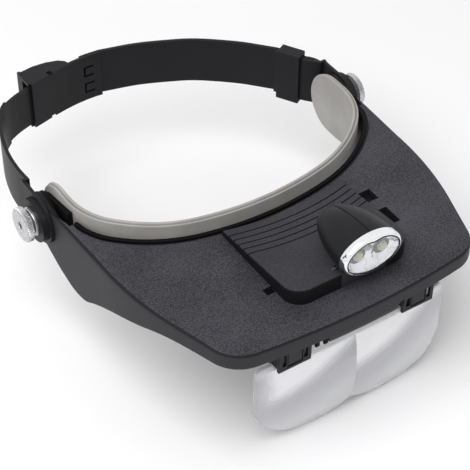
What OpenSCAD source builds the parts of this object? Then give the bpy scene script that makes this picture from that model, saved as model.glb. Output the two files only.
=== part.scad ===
// Lighted headband magnifier: a flexible headband with a brow pad, a tilting visor,
// a clip-on two-LED lamp unit and a pull-out magnifying lens plate.
// Origin: middle of the temple pivot axis. +Z up, +X to the wearer's left, front towards -Y.

/* [Temple joint] */
// Half distance between the inner faces of the two temple paddles
head_half_w = 77.4; // [74:0.1:82]
// Thickness of the brow pad
pad_t = 3; // [2.4:0.1:4]
// Thickness of the black temple bracket at its round boss
bracket_boss_t = 4.2; // [3.8:0.1:5]
// Thickness of the bracket's plate
bracket_t = 2.4; // [1.8:0.1:3]
// Thickness of the visor's plastic wall
visor_wall = 2; // [1.6:0.1:2.4]
// Radius of the visor's pivot ear
ear_r = 12.4; // [11:0.1:12.8]
// Clear gap between pieces that turn on each other
turn_gap = 0.3; // [0.2:0.05:0.5]
// Radius of the arm's round temple disc
disc_r = 13; // [12.6:0.1:14]
// Radius of the raised step on the disc
disc_step_r = 11.2; // [9:0.1:12]
// Thickness of the disc's first step
disc_t = 1.8; // [1.4:0.1:2.4]
// Height of the disc's raised step
disc_step_t = 3.1; // [2:0.1:4]

/* [Thumb screws] */
// Diameter of the knurled head
knob_d = 17.6; // [15:0.1:20]
// Thickness of the knurled head
knob_t = 3.8; // [3:0.1:6]
// Count of knurl ridges
knurls = 40; // [24:1:60]
// Depth of the knurl grooves
knurl_depth = 0.45; // [0.2:0.05:0.8]
// Diameter of the neck behind the head
knob_neck_d = 11; // [8:0.1:13]
// Length of the neck behind the head
knob_neck_t = 1.2; // [0.6:0.1:2]
// Diameter of the screw's shank
shank_d = 4; // [3:0.1:5]
// Diameter of the shallow recess in the head's face
knob_recess_d = 5.2; // [3:0.1:8]
// Depth of the recess in the head's face
knob_recess_depth = 0.8; // [0.4:0.1:1.5]
// Diameter of the flange washer
washer_d = 14.6; // [12:0.1:16]
// Thickness of the flange washer
washer_t = 1.5; // [1:0.1:2]
// Width of the square nut across its flats
nut_w = 8; // [7:0.1:9]
// Thickness of the nut
nut_t = 2.6; // [2:0.1:3]
// Radial clearance of the shank in its holes
shank_gap = 0.3; // [0.2:0.05:0.5]
// Radial running clearance in the nut and of hinge pins
run_gap = 0.05; // [0.03:0.01:0.08]

/* [Headband] */
// Height of the headband's strap
strap_h = 26.6; // [22:0.2:30]
// Thickness of the strap
strap_t = 1.8; // [1.4:0.1:2.2]
// Clear gap between two strap layers
layer_gap = 0.15; // [0.1:0.05:0.3]
// Distance from the pivot axis to the back of the strap
strap_back = 83.6; // [80:0.2:90]
// Clear gap between the tongue's edges and the buckle's walls
tongue_gap = 0.7; // [0.3:0.1:1]
// Length of the keeper loop along the strap
keeper_len = 13; // [10:0.5:14]
// Wall of the keeper loop
keeper_wall = 1.5; // [1:0.1:2]
// Clear gap between the keeper and the strap's edges
keeper_gap = 0.35; // [0.3:0.05:0.5]

/* [Buckle] */
// Height of the buckle
buckle_h = 27.8; // [26:0.1:34]
// Thickness of the buckle's walls
buckle_wall = 1.5; // [1.2:0.1:2]
// Thickness of the release lever
lever_t = 1.9; // [1.4:0.1:2.6]
// Diameter of the lever's steel pin
lever_pin_d = 1.6; // [1.2:0.1:2]

/* [Brow pad] */
// Height of the pad's top edge above the pivot axis
pad_top = 18.2; // [17.4:0.1:20]
// Depth of the brow band's lower edge under the pivot axis
pad_low = 6; // [4:0.1:10]
// Depth of the paddle's lower edge under the pivot axis
paddle_low = 16; // [12:0.1:18]
// How far the paddle reaches behind the pivot axis
paddle_back = 11; // [8:0.1:14]
// Height of the rounded lip along the pad's top edge
pad_lip = 1.2; // [0.6:0.1:2]

/* [Visor] */
// Height of the visor's top face above the pivot axis
visor_top = 11; // [9:0.1:13]
// Height of the front rim's lower edge
rim_low = 3; // [1:0.1:5]
// Depth of the deep side lobe's lower edge under the pivot axis
lobe_low = 26.5; // [22:0.1:30]
// Distance from the pivot axis to the visor's rear edge at the middle
brow_edge = 65.8; // [65.7:0.1:68]
// Half width between the outer faces of the visor's straight sides
side_half_w = 85.4; // [84:0.1:88]
// Radius of the sides' sweep
side_r = 170; // [150:1:200]
// Turn of the sides' sweep in degrees
side_turn = 17.7; // [15:0.1:20]
// Length of the straight run between sweep and front corner
side_run = 22.8; // [20:0.2:26]
// Radius of the front corners
corner_r = 18; // [15:0.1:20]
// Radius of the bowed front edge
front_r = 435; // [300:5:600]
// Size of the rounded crease between top and sides
crease = 2.2; // [1:0.1:2.6]
// Half length of the low lip between the lens holders
lip_half = 19; // [12:0.5:22]
// Depth of that lip under the front rim
lip_drop = 3.4; // [1:0.1:4]

/* [Lamp unit] */
// Width of the lamp unit's housing
case_w = 67; // [62:0.5:70]
// Place of the housing's middle, right of the visor's middle
case_x = 5.5; // [3:0.1:6]
// Distance from the pivot axis to the housing's rear edge
case_back = 72; // [71.5:0.1:74]
// Distance from the pivot axis to the housing's front wall
case_front = 125; // [122:0.1:127]
// Height of the housing's roof over the visor at its rear edge
case_rear_h = 3.5; // [3.2:0.1:5]
// Height of the housing's roof over the visor at its front wall
case_front_h = 9; // [8:0.1:11]
// Radius of the housing's front corners
case_corner_r = 9; // [6:0.5:12]
// Wall of the housing
case_wall = 1.6; // [1.2:0.1:2]
// Count of grip ribs
rib_count = 5; // [3:1:6]
// Distance between two grip ribs
rib_pitch = 4; // [3:0.1:5]
// Length of the grip ribs
rib_len = 61; // [50:0.5:61]
// Width of a rib groove
rib_w = 0.7; // [0.4:0.1:1]
// Depth of a rib groove
rib_depth = 0.5; // [0.3:0.1:0.8]
// Diameter of a battery cell
cell_d = 10.5; // [10.3:0.1:10.5]
// Length of a battery cell
cell_len = 44.5; // [44:0.1:45]
// Length of a contact spring behind a cell
spring_len = 5.2; // [3:0.1:6]
// Thickness of the battery cover
cover_t = 1.4; // [1:0.1:2]
// Length of the switch's travel
switch_travel = 3; // [2:0.1:4]

/* [Lamp head] */
// Place of the lamp's middle, right of the visor's middle
lamp_x = 10; // [8:0.1:11]
// Width of the lamp head
lamp_w = 32; // [28:0.1:34]
// Height of the lamp head
lamp_h = 21.8; // [20:0.1:24]
// Length of the lamp's black shell
lamp_len = 32; // [28:0.1:34]
// Distance from the pivot axis to the lamp's front face
lamp_front = 131; // [130:0.1:133]
// Height of the lamp's axis above the visor's top face
lamp_rise = 18.8; // [18.4:0.1:21]
// Depth of the chrome bezel
bezel_t = 4; // [3:0.1:5]
// Width of the bezel's rim around the lamp lens
bezel_rim = 2; // [1.4:0.1:3]
// Wall of the lamp's shell
lamp_wall = 1.4; // [1:0.1:2]
// Thickness of the lamp's clear lens
lamp_lens_t = 1.2; // [0.8:0.1:1.6]
// Diameter of an LED's dome
led_d = 5; // [4:0.1:6]
// Distance between the two LEDs
led_gap = 13; // [10:0.1:15]
// Radius of the lamp's hinge barrel
barrel_r = 4.3; // [3.6:0.1:4.3]
// Length of the lamp's hinge barrel
barrel_len = 24.8; // [20:0.1:25]
// Diameter of the lamp's hinge pin
lamp_pin_d = 2; // [1.6:0.1:3]

/* [Lens plate] */
// Radius of each lens lobe
lobe_r = 34.5; // [32:0.1:36]
// Distance from the middle to each lobe's centre
lobe_x = 20.5; // [18:0.1:22]
// Depth of the lobes' centres under the pivot axis
lobe_z = 25; // [23:0.1:27]
// Thickness of the plate
plate_t = 2; // [1.6:0.1:2.4]
// Thickness that the curved lens face adds at its middle
lens_crown = 3.6; // [2:0.1:4]
// Depth of the plate's top edge under the pivot axis
plate_top = 5; // [4:0.1:6]
// Distance from the pivot axis to the plate's middle
plate_y = 133.4; // [133:0.1:134]
// Height of the two tabs that stand up in each holder
tab_h = 6.5; // [4:0.1:8]
// Clear gap around the plate in its holders
plate_gap = 0.3; // [0.2:0.05:0.5]

/* [Lens holders] */
// Width of a lens holder
holder_w = 17.5; // [15:0.1:20]
// Distance from the middle to a holder's middle
holder_x = 34.2; // [32:0.1:36]
// Depth of a holder's lower face under the pivot axis
holder_low = 11; // [9:0.1:12]
// Depth of a holder from its front face to its back face
holder_d = 7.8; // [7:0.1:9]
// Diameter of the holder's screw
screw_d = 2.2; // [1.8:0.1:2.6]

/* [Hidden] */
$fn = 64;

// Stack of pieces at a temple, from the head outwards
pad_out = head_half_w + pad_t;
bracket_in = pad_out;
bracket_out = bracket_in + bracket_boss_t;
ear_in = bracket_out + turn_gap;
ear_out = ear_in + visor_wall;
disc_in = ear_out + turn_gap;
disc_mid = disc_in + disc_t;
disc_out = disc_mid + disc_step_t;
washer_in = disc_out + 0.1;
washer_out = washer_in + washer_t;
knob_in = washer_out + 0.1;
knob_out = knob_in + knob_neck_t + knob_t;
strap_in = disc_in - strap_t - 0.1;
shank_hole_r = shank_d/2 + shank_gap;
step_back = disc_r + 2 * turn_gap;

// Points along a circle's arc
function arc(c, r, a0, a1, n) =
    [for (i = [0:n]) let (a = a0 + (a1 - a0) * i / n) [c[0] + r * cos(a), c[1] + r * sin(a)]];
function mirrored(pts) = [for (i = [len(pts) - 1:-1:0]) [-pts[i][0], pts[i][1]]];
function ellipse_pts(a, b, n) = [for (i = [0:n - 1]) [a * cos(360 * i / n), b * sin(360 * i / n)]];

// A smooth curve through hand-chosen points, and its unit normals to the left of travel
function blend(p0, p1, p2, p3, t) =
    0.5 * ((2 * p1) + (p2 - p0) * t + (2 * p0 - 5 * p1 + 4 * p2 - p3) * t * t
        + (3 * p1 - p0 - 3 * p2 + p3) * t * t * t);
function smooth(p, n) = let (m = len(p) - 1)
    [for (i = [0:m - 1], j = [0:n - 1]) blend(p[max(i - 1, 0)], p[i], p[i + 1], p[min(i + 2, m)], j / n),
        p[m]];
function along(p, i) = let (d = p[min(i + 1, len(p) - 1)] - p[max(i - 1, 0)]) d / norm(d);
function shifted(p, s) = [for (i = [0:len(p) - 1]) let (d = along(p, i)) p[i] + s * [-d[1], d[0]]];
function reversed(p) = [for (i = [len(p) - 1:-1:0]) p[i]];
function band(p, s0, s1) = concat(shifted(p, s0), reversed(shifted(p, s1)));

module along_x(x0, x1, r) {
    translate([x0, 0, 0]) rotate([0, 90, 0]) cylinder(h = x1 - x0, r = r);
}

module box(x, y, z) {
    translate([x[0], y[0], z[0]]) cube([x[1] - x[0], y[1] - y[0], z[1] - z[0]]);
}

// Profile in Y and Z, extruded along X from x0 to x1
module side_profile(x0, x1) {
    translate([x0, 0, 0]) rotate([90, 0, 90]) linear_extrude(x1 - x0) children();
}

// Profile in X and Z, extruded along Y from y0 to y1
module front_profile(y0, y1) {
    translate([0, y1, 0]) rotate([90, 0, 0]) linear_extrude(y1 - y0) children();
}

// Routes in plan are drawn on a headband 170.6 wide and 83.6 deep, and stretch with the real one
drawn_w = 85.3;
drawn_back = 83.6;
function fitted(p) = [for (q = p) [q[0] * strap_in / drawn_w, q[1] * strap_back / drawn_back]];

// Inner faces of the arms in plan, from the temple backwards
left_run = fitted([[-85.6, 24], [-84.2, 37], [-80, 52], [-73.2, 66], [-67.6, 72], [-60.4, 75.8]]);
left_path = smooth(concat([[-strap_in, step_back]], left_run), 5);
shoulder_i = 5 * 5;
right_run = fitted([[82.5, 16.4], [78.9, 20.9], [75, 27.6], [70.6, 35.2]]);
right_path = smooth(concat([[strap_in, step_back]], right_run), 5);

module arm_disc(side) {
    mirror([side < 0 ? 1 : 0, 0, 0]) difference() {
        union() {
            along_x(disc_in, disc_mid, disc_r);
            along_x(disc_in, disc_out, disc_step_r);
            box([strap_in, disc_mid], [step_back, step_back + strap_t], [-strap_h/2, strap_h/2]);
            box([disc_in, disc_mid], [0, step_back + strap_t], [-disc_r + 0.2, disc_r - 0.2]);
        }
        along_x(disc_in - 1, disc_out + 1, shank_hole_r);
    }
}

module strap_piece(p, s0, s1, h) {
    translate([0, 0, -h/2]) linear_extrude(h) polygon(band(p, s0, s1));
}

module left_arm() {
    color("#35353a") {
        wide = [for (i = [0:shoulder_i]) left_path[i]];
        in_buckle = shifted(plate_path, buckle_wall + layer_gap);
        tongue = concat([for (i = [shoulder_i - 1:len(left_path) - 1]) left_path[i]],
            [for (i = [0:5]) in_buckle[i]]);
        arm_disc(-1);
        strap_piece(wide, 0, strap_t, strap_h);
        difference() {
            strap_piece(tongue, 0, strap_t, buckle_h - 2 * buckle_wall - 2 * tongue_gap);
            for (k = [0:12]) translate([-62 + 1.9 * k, 75.2 + k * (0.62 - 0.012 * k), 0])
                rotate([0, 0, 21 - 0.5 * k]) translate([-0.4, strap_t - 0.45, -6]) cube([0.8, 4, 12]);
        }
    }
}

module right_arm() {
    color("#35353a") {
        arm_disc(1);
        strap_piece(right_path, 0, -strap_t, strap_h);
    }
}

// Buckle in plan: the inner plate follows the head, the lever's hump stands behind it
plate_run = fitted([[-50.6, 77.4], [-38, 80.6], [-26, 82.9], [-16, 83.6], [-7.4, 83.2]]);
plate_path = smooth(plate_run, 4);
plate_x = [plate_path[0][0], plate_path[16][0]];

// The rear strap: a rounded free tail, the run over the right arm, the rear run and the buckle end
tail_run = fitted([[92.2, 15.8], [88.6, 17], [84.6, 19]]);
tail_end = tail_run[0];
rear_run = fitted([[66.8, 42.4], [57.4, 52.4], [40.8, 65.9], [26.6, 73.4], [11.8, 79.6], [-3, 83.6]]);
over_arm = shifted(right_path, -strap_t - layer_gap);
behind_plate = shifted(plate_path, buckle_wall);
rear_path = concat(smooth(concat(tail_run, [over_arm[9]]), 4),
    [for (i = [10:20]) over_arm[i]],
    smooth(rear_run, 5),
    [for (i = [16:-1:11]) behind_plate[i]]);
module rear_strap() {
    color("#2b2b2f") difference() {
        strap_piece(rear_path, -strap_t, 0, strap_h);
        translate([tail_end[0], tail_end[1], 0]) rotate([0, 0, -30]) difference() {
            box([-strap_h/2, 10], [-8, 8], [-20, 20]);
            translate([-strap_h/2, 0, 0]) rotate([90, 0, 0]) cylinder(h = 20, r = strap_h/2, center = true);
        }
    }
}

// The loop's middle lies on the right arm, halfway down its run
keeper_c = right_path[15];
keeper_a = let (d = along(right_path, 15)) atan2(d[1], d[0]);
keeper_in = keeper_gap;
keeper_out = 2 * strap_t + layer_gap + keeper_gap;
module keeper_loop() {
    inner_h = strap_h + 2 * keeper_gap;
    color("#303034") translate([keeper_c[0], keeper_c[1], 0]) rotate([0, 0, keeper_a]) difference() {
        box([-keeper_len/2, keeper_len/2], [-keeper_out - keeper_wall, keeper_in + keeper_wall],
            [-inner_h/2 - keeper_wall, inner_h/2 + keeper_wall]);
        box([-keeper_len, keeper_len], [-keeper_out, keeper_in], [-inner_h/2, inner_h/2]);
    }
}

hump = fitted([[-50.6, 79], [-38, 82.2], [-26, 84.6], [-26.6, 86.4], [-29.4, 88.9], [-35.6, 90.8],
    [-42.8, 91.4], [-50.6, 90.4]]);
lever_pin_at = fitted([[-31, 86.6]])[0];
mouth_x = [plate_x[0] - buckle_wall - 0.1, plate_x[0]];
mouth_y = [plate_path[0][1] + buckle_wall + 0.1, hump[7][1] + 0.8];
module buckle_case() {
    color("#2e2e32") difference() {
        union() {
            translate([0, 0, -buckle_h/2]) linear_extrude(buckle_h)
                polygon(band(plate_path, 0, buckle_wall));
            for (z = [-buckle_h/2, buckle_h/2 - buckle_wall]) translate([0, 0, z])
                linear_extrude(buckle_wall) polygon(hump);
            box(mouth_x, [mouth_y[1] - 2, mouth_y[1]], [-buckle_h/2, buckle_h/2]);
            box(mouth_x, mouth_y, [buckle_h/2 - buckle_wall, buckle_h/2]);
            box(mouth_x, mouth_y, [-buckle_h/2, -buckle_h/2 + buckle_wall]);
        }
        translate([lever_pin_at[0], lever_pin_at[1], -buckle_h/2 + 0.5])
            cylinder(h = buckle_h - 1, d = lever_pin_d + 2 * run_gap, $fn = 32);
        for (z = [-buckle_h/2 - 1, buckle_h/2 - 1.2]) translate([plate_x[0] + 11, plate_path[4][1] - 2, z])
            cube([2.6, 4.6, 2.2]);
        for (z = [-7.2, 3.2]) u_cut(z);
    }
}

// A thin U-shaped cut that frees a spring tab
module u_cut(z) {
    x = plate_x[1] - 13.6;
    y = [strap_back - 1.6, strap_back + 2.4];
    box([x, x + 0.6], y, [z - 2, z + 4]);
    for (e = [z - 2, z + 3.4]) box([x, x + 5.6], y, [e, e + 0.6]);
}

lever_run = fitted([[-29.4, 86.2], [-31, 88.4], [-36, 90.2], [-42.8, 90.7], [-50.2, 89.4]]);
pawl = fitted([[-33.5, 88.6], [-36.2, 85.1], [-37.6, 89.4]]);
module release_lever() {
    lever_h = buckle_h - 2 * buckle_wall - 2 * turn_gap;
    color("#303035") difference() {
        translate([0, 0, -lever_h/2]) union() {
            linear_extrude(lever_h) polygon(band(smooth(lever_run, 4), 0, lever_t));
            translate([lever_pin_at[0], lever_pin_at[1], 0]) cylinder(h = lever_h, r = 1.9, $fn = 32);
            linear_extrude(lever_h) polygon(pawl);
        }
        translate([lever_pin_at[0], lever_pin_at[1], -lever_h])
            cylinder(h = 2 * lever_h, d = lever_pin_d + 2 * run_gap, $fn = 32);
    }
}

module lever_pin() {
    pin_len = buckle_h - 1.2;
    color("#b9bbbd") translate([lever_pin_at[0], lever_pin_at[1], -pin_len/2])
        cylinder(h = pin_len, d = lever_pin_d, $fn = 32);
}

// Bracket: a plate along the outside of the paddle, with a round boss at the pivot
bracket_front = 19.5;
bracket_back = 13;
bracket_low = 12;
bracket_top = 14.4;
module bracket(side) {
    color("#141416") mirror([side < 0 ? 1 : 0, 0, 0]) difference() {
        union() {
            side_profile(bracket_in, bracket_in + bracket_t) polygon([[-bracket_front, -bracket_low],
                [8, -bracket_low], [bracket_back, 0], [bracket_back, 9], [3, 11.6],
                [-bracket_front, bracket_top]]);
            along_x(bracket_in, bracket_out, 11);
        }
        along_x(bracket_in - 1, bracket_out + 1, shank_hole_r);
        box([bracket_in - 1, bracket_in + nut_t + 0.2], [-nut_w/2 - 0.1, nut_w/2 + 0.1],
            [-nut_w/2 - 0.1, nut_w/2 + 0.1]);
    }
}

module nut(side) {
    color("#c9b26a") mirror([side < 0 ? 1 : 0, 0, 0]) difference() {
        box([bracket_in + 0.1, bracket_in + 0.1 + nut_t], [-nut_w/2, nut_w/2], [-nut_w/2, nut_w/2]);
        along_x(bracket_in - 1, bracket_out, shank_d/2 + run_gap);
    }
}

// Outer face of the brow pad in plan: a flat middle arc, a tighter arc and a short end arc
pad_mid_r = 150;
pad_shoulder_r = 70.6;
pad_mid_turn = 14;
pad_shoulder_turn = 46;
function swept(r1, r2, r3, y0, inset) = let (
        c1 = [0, y0 + r1],
        e1 = c1 + r1 * [sin(pad_mid_turn), -cos(pad_mid_turn)],
        c2 = e1 - r2 * [sin(pad_mid_turn), -cos(pad_mid_turn)],
        e2 = c2 + r2 * [sin(pad_shoulder_turn), -cos(pad_shoulder_turn)],
        c3 = e2 - r3 * [sin(pad_shoulder_turn), -cos(pad_shoulder_turn)])
    concat(arc(c1, r1 - inset, -90, pad_mid_turn - 90, 5),
        [for (q = arc(c2, r2 - inset, pad_mid_turn - 90, pad_shoulder_turn - 90, 7)) if (q != e1) q],
        [for (q = arc(c3, r3 - inset, pad_shoulder_turn - 90, 0, 8)) if (q != e2) q]);
function end_r(r1, r2, half) =
    (half - r1 * sin(pad_mid_turn) - r2 * (sin(pad_shoulder_turn) - sin(pad_mid_turn)))
        / (1 - sin(pad_shoulder_turn));
brow_y = -63.1;
pad_end_r = end_r(pad_mid_r, pad_shoulder_r, pad_out);
function pad_line(inset) = swept(pad_mid_r, pad_shoulder_r, pad_end_r, brow_y, inset);
function both_sides(p) = concat([for (i = [len(p) - 1:-1:1]) [-p[i][0], p[i][1]]], p);

module pad_plan(t0, t1) {
    polygon(concat(both_sides(concat(pad_line(t0), [[pad_out - t0, paddle_back]])),
        reversed(both_sides(concat(pad_line(t1), [[pad_out - t1, paddle_back]])))));
}

module paddle_shape() {
    mid = (pad_top - paddle_low) / 2;
    r = (pad_top + paddle_low) / 2;
    union() {
        translate([paddle_back - r, mid]) circle(r = r);
        polygon([[paddle_back - r, mid - r], [paddle_back - r, mid + r], [-70, pad_top], [-70, -pad_low],
            [-46, -pad_low], [-33, -pad_low - 2], [-22, -paddle_low + 1.2], [-14, -paddle_low]]);
    }
}

module brow_pad() {
    color("#97928d") difference() {
        intersection() {
            translate([0, 0, -paddle_low - 1]) linear_extrude(pad_top + paddle_low + 2) union() {
                pad_plan(0, pad_t);
            }
            side_profile(-100, 100) paddle_shape();
        }
        translate([0, 0, pad_top - pad_lip]) linear_extrude(pad_lip + 1) pad_plan(-1, 0.8);
        for (s = [-1, 1]) along_x(s * pad_out - 0.6, s * pad_out + 0.6, shank_d/2 + 0.8);
    }
}

module washer(side) {
    color("#d5d7d9") mirror([side < 0 ? 1 : 0, 0, 0]) difference() {
        union() {
            along_x(washer_in, washer_out, washer_d/2 - 0.8);
            along_x(washer_in, washer_in + washer_t/2, washer_d/2);
        }
        along_x(washer_in - 1, washer_out + 1, shank_hole_r);
    }
}

module thumb_screw(side) {
    r = knob_d/2;
    ridge = [for (i = [0:2 * knurls - 1]) let (a = 180 * i / knurls, q = i % 2 == 0 ? r : r - knurl_depth)
        [q * cos(a), q * sin(a)]];
    color("#c3c5c8") mirror([side < 0 ? 1 : 0, 0, 0]) difference() {
        union() {
            translate([knob_in + knob_neck_t, 0, 0]) rotate([0, 90, 0]) linear_extrude(knob_t - 0.5)
                polygon(ridge);
            along_x(knob_out - 0.6, knob_out, r - 0.7);
            along_x(knob_in, knob_out - 1, knob_neck_d/2);
            along_x(bracket_in + 0.4, knob_in + 1, shank_d/2);
        }
        along_x(knob_out - knob_recess_depth, knob_out + 1, knob_recess_d/2);
    }
}

// Visor outline in plan, right half, set in by t from the outer face
function visor_side(t) = let (
        c1 = [side_half_w - side_r, -52],
        e1 = c1 + side_r * [cos(side_turn), -sin(side_turn)],
        s2 = e1 + side_run * [-sin(side_turn), -cos(side_turn)],
        c2 = s2 - corner_r * [cos(side_turn), -sin(side_turn)],
        bow = asin(c2[0] / (front_r - corner_r)),
        c3 = [0, c2[1] + (front_r - corner_r) * cos(bow)])
    concat([[ear_out - t, 20], [ear_out - t, -15]],
        arc(c1, side_r - t, 0, -side_turn, 8),
        arc(c2, corner_r - t, -side_turn, bow - 90, 8),
        arc(c3, front_r - t, bow - 90, -90, 6));
function visor_outline(t) = concat(visor_side(t), mirrored(visor_side(t)));

// Lower edge of the skirt in Y and Z
lobe_c = [-32, -lobe_low + 16];
skirt_edge = concat([[8, -9.4], [0, -15], [-9.5, -19.8], [-18, -lobe_low + 3.2]],
    arc(lobe_c, 16, -65, -135, 6),
    [[-62.5, -12], [-84, -4], [-96, rim_low - 2.9], [-107, rim_low - 1.1], [-126, rim_low - 0.2],
    [-132, rim_low], [-150, rim_low]]);

module skirt_side() {
    polygon(concat(skirt_edge, [[-150, visor_top], [1.5, visor_top]]));
    circle(r = ear_r);
}

// Rear edge of the visor's top: it clears the pad through the whole tilt
edge_r1 = 153;
edge_r2 = 73.6;
edge_r3 = end_r(edge_r1, edge_r2, 80.6);
function brow_gap() = swept(edge_r1, edge_r2, edge_r3, -brow_edge, 0);

case_x0 = case_x - case_w/2;
case_x1 = case_x + case_w/2;
tub_half = (cell_len + spring_len + 1.3) / 2 + case_wall;
tub_x = [case_x - tub_half, case_x + tub_half];
tub_y = [-case_front + 4.2, -case_back - 2];
cell_low = 2.9;
tub_low = cell_low - 0.2 - cover_t;
windows = [[[41, 48], [-85, -78.4]], [[41.2, 47.2], [-102.6, -93]]];
catch_notch = [[-34.4, -27.4], [-111.4, -106.8]];
screw_y = -124.8;
boss_low = visor_top - visor_wall - 2;
boss_h = 3;
foot_t = 1.8;

module visor_shell() {
    color("#3f3f44") difference() {
        union() {
            intersection() {
                difference() {
                    visor_form();
                    translate([0, 0, -50]) linear_extrude(80) polygon(visor_outline(visor_wall));
                }
                side_profile(-100, 100) skirt_side();
            }
            intersection() {
                translate([0, 0, visor_top - visor_wall]) linear_extrude(visor_wall) difference() {
                    polygon(visor_outline(0.5));
                    polygon(concat(brow_gap(), [[83, 30], [-83, 30]], mirrored(brow_gap())));
                    translate([-100, -23.5]) square([200, 60]);
                }
                visor_form();
            }
            for (s = [-1, 1]) mirror([s < 0 ? 1 : 0, 0, 0]) along_x(ear_in, ear_out, ear_r);
            front_lip();
            for (s = [-1, 1]) translate([s * holder_x, screw_y, boss_low]) cylinder(h = boss_h, r = 2.4);
        }
        box([tub_x[0] - plate_gap, tub_x[1] + plate_gap], [tub_y[0] - plate_gap, tub_y[1] + plate_gap],
            [visor_top - 5, visor_top + 1]);
        for (w = windows) box(w[0], w[1], [visor_top - 5, visor_top + 1]);
        box(catch_notch[0], catch_notch[1], [visor_top - 5, visor_top + 1]);
        for (s = [-1, 1]) {
            along_x(s * ear_in - 3, s * ear_in + 3, shank_hole_r);
            translate([s * holder_x, screw_y, boss_low - 1]) cylinder(h = 4, d = screw_d, $fn = 32);
        }
    }
}

// Solid outer form of the visor, its crease rounded off by two bevels
module visor_form() {
    translate([0, 0, -40]) linear_extrude(40 + visor_top - crease) polygon(visor_outline(0));
    hull() {
        for (k = [[crease, 0], [0.3 * crease, 0.3 * crease], [0, crease]])
            translate([0, 0, visor_top - k[0] - 0.01]) linear_extrude(0.01) polygon(visor_outline(k[1]));
    }
}

// Low lip under the front rim, between the two lens holders
module front_lip() {
    intersection() {
        translate([0, 0, rim_low - lip_drop]) linear_extrude(lip_drop + 1) difference() {
            polygon(visor_outline(0.4));
            polygon(visor_outline(visor_wall));
        }
        box([-lip_half, lip_half], [-150, -100], [-20, 20]);
    }
}

// Lens holder: a box behind the rim, open below, with two slots in its front
holder_front = plate_y + plate_t/2 + plate_gap + 1.6;
module holder(side) {
    x0 = side * holder_x - holder_w/2;
    x1 = side * holder_x + holder_w/2;
    top = visor_top - visor_wall;
    slot_y = [-plate_y - plate_t/2 - plate_gap, -plate_y + plate_t/2 + plate_gap];
    color("#232327") difference() {
        union() {
            box([x0, x1], [-holder_front, -holder_front + holder_d], [-holder_low, rim_low]);
            intersection() {
                box([x0, x1], [-holder_front, -holder_front + holder_d], [rim_low - 1, top]);
                linear_extrude(top) polygon(visor_outline(visor_wall + 0.05));
            }
            box([side * holder_x - 4, side * holder_x + 4], [-holder_front + holder_d - 1, screw_y + 3],
                [boss_low - foot_t, boss_low]);
        }
        box([x0 + 1.4, x1 - 1.4], slot_y, [-holder_low - 1, -plate_top + tab_h + 0.6]);
        box([x0 - 1, x1 + 1], slot_y, [-holder_low - 1, -plate_top + 0.4]);
        for (x = [x0 + 2, x1 - 4]) box([x, x + 2], [-holder_front - 1, -plate_y], [-8, 1]);
        translate([side * holder_x, screw_y, boss_low - 3])
            cylinder(h = 6, d = screw_d + 0.4, $fn = 32);
    }
}

module holder_screws() {
    color("#b9bbbd") for (s = [-1, 1]) translate([s * holder_x, screw_y, 0]) {
        translate([0, 0, boss_low - foot_t - 1.3]) cylinder(h = 1.3, r = screw_d/2 + 0.9, $fn = 32);
        translate([0, 0, boss_low - foot_t - 1]) cylinder(h = foot_t + boss_h, d = screw_d - 2 * run_gap,
            $fn = 32);
    }
}

// Lens plate: two round lobes that meet at the middle, each with a curved front face
crown_r = (lobe_r * lobe_r + lens_crown * lens_crown) / (2 * lens_crown);
crown_low = holder_low + 1.6;
plate_face = plate_y + plate_t/2;
module plate_shape() {
    difference() {
        union() {
            for (s = [-1, 1]) {
                translate([s * lobe_x, -lobe_z]) circle(r = lobe_r);
                translate([s * lobe_x - lobe_r, -lobe_z]) square([2 * lobe_r, lobe_z - plate_top]);
            }
        }
        translate([-100, -plate_top]) square([200, 60]);
    }
}

module lens_plate() {
    color("#d9dce4", 0.4) union() {
        front_profile(-plate_face, -plate_face + plate_t) plate_shape();
        for (s = [-1, 1]) {
            for (e = [-1, 1]) box([s * holder_x + e * 5.7 - 1, s * holder_x + e * 5.7 + 1],
                [-plate_face, -plate_face + plate_t], [-plate_top - 1, -plate_top + tab_h]);
            intersection() {
                translate([s * lobe_x, -plate_face - lens_crown + crown_r, -lobe_z])
                    sphere(r = crown_r, $fn = 320);
                front_profile(-plate_face - lens_crown - 1, -plate_face + 0.1) intersection() {
                    translate([s * lobe_x, -lobe_z]) circle(r = lobe_r - 0.2);
                    translate([s > 0 ? 0 : -100, -100]) square([100, 100 - crown_low]);
                }
            }
        }
    }
}

// Lamp unit housing: its roof rises from the brow to the front wall
roof_slope = (case_front_h - case_rear_h) / (case_front - case_back);
function case_plan(t) = let (r = case_corner_r, f = -case_front + t, x0 = case_x0 + t, x1 = case_x1 - t)
    concat([[x0, -case_back + 2.6 - t]], arc([x0 + r - t, f + r - t], r - t, 180, 270, 6),
        arc([x1 - r - 3 + t, f + r + 3 - t], r + 3 - t, 270, 360, 7), [[x1, -case_back + 3.4 - t]],
        arc([case_x, 46 - t], 46 + case_back, -75, -105, 8));
function roof_at(y) = visor_top + case_rear_h + (-case_back - y) * roof_slope;

module under_roof(t) {
    side_profile(-60, 80) polygon([[-60, visor_top - t - 1], [-60, roof_at(-60) - t],
        [-150, roof_at(-150) - t], [-150, visor_top - t - 1]]);
}

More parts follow.
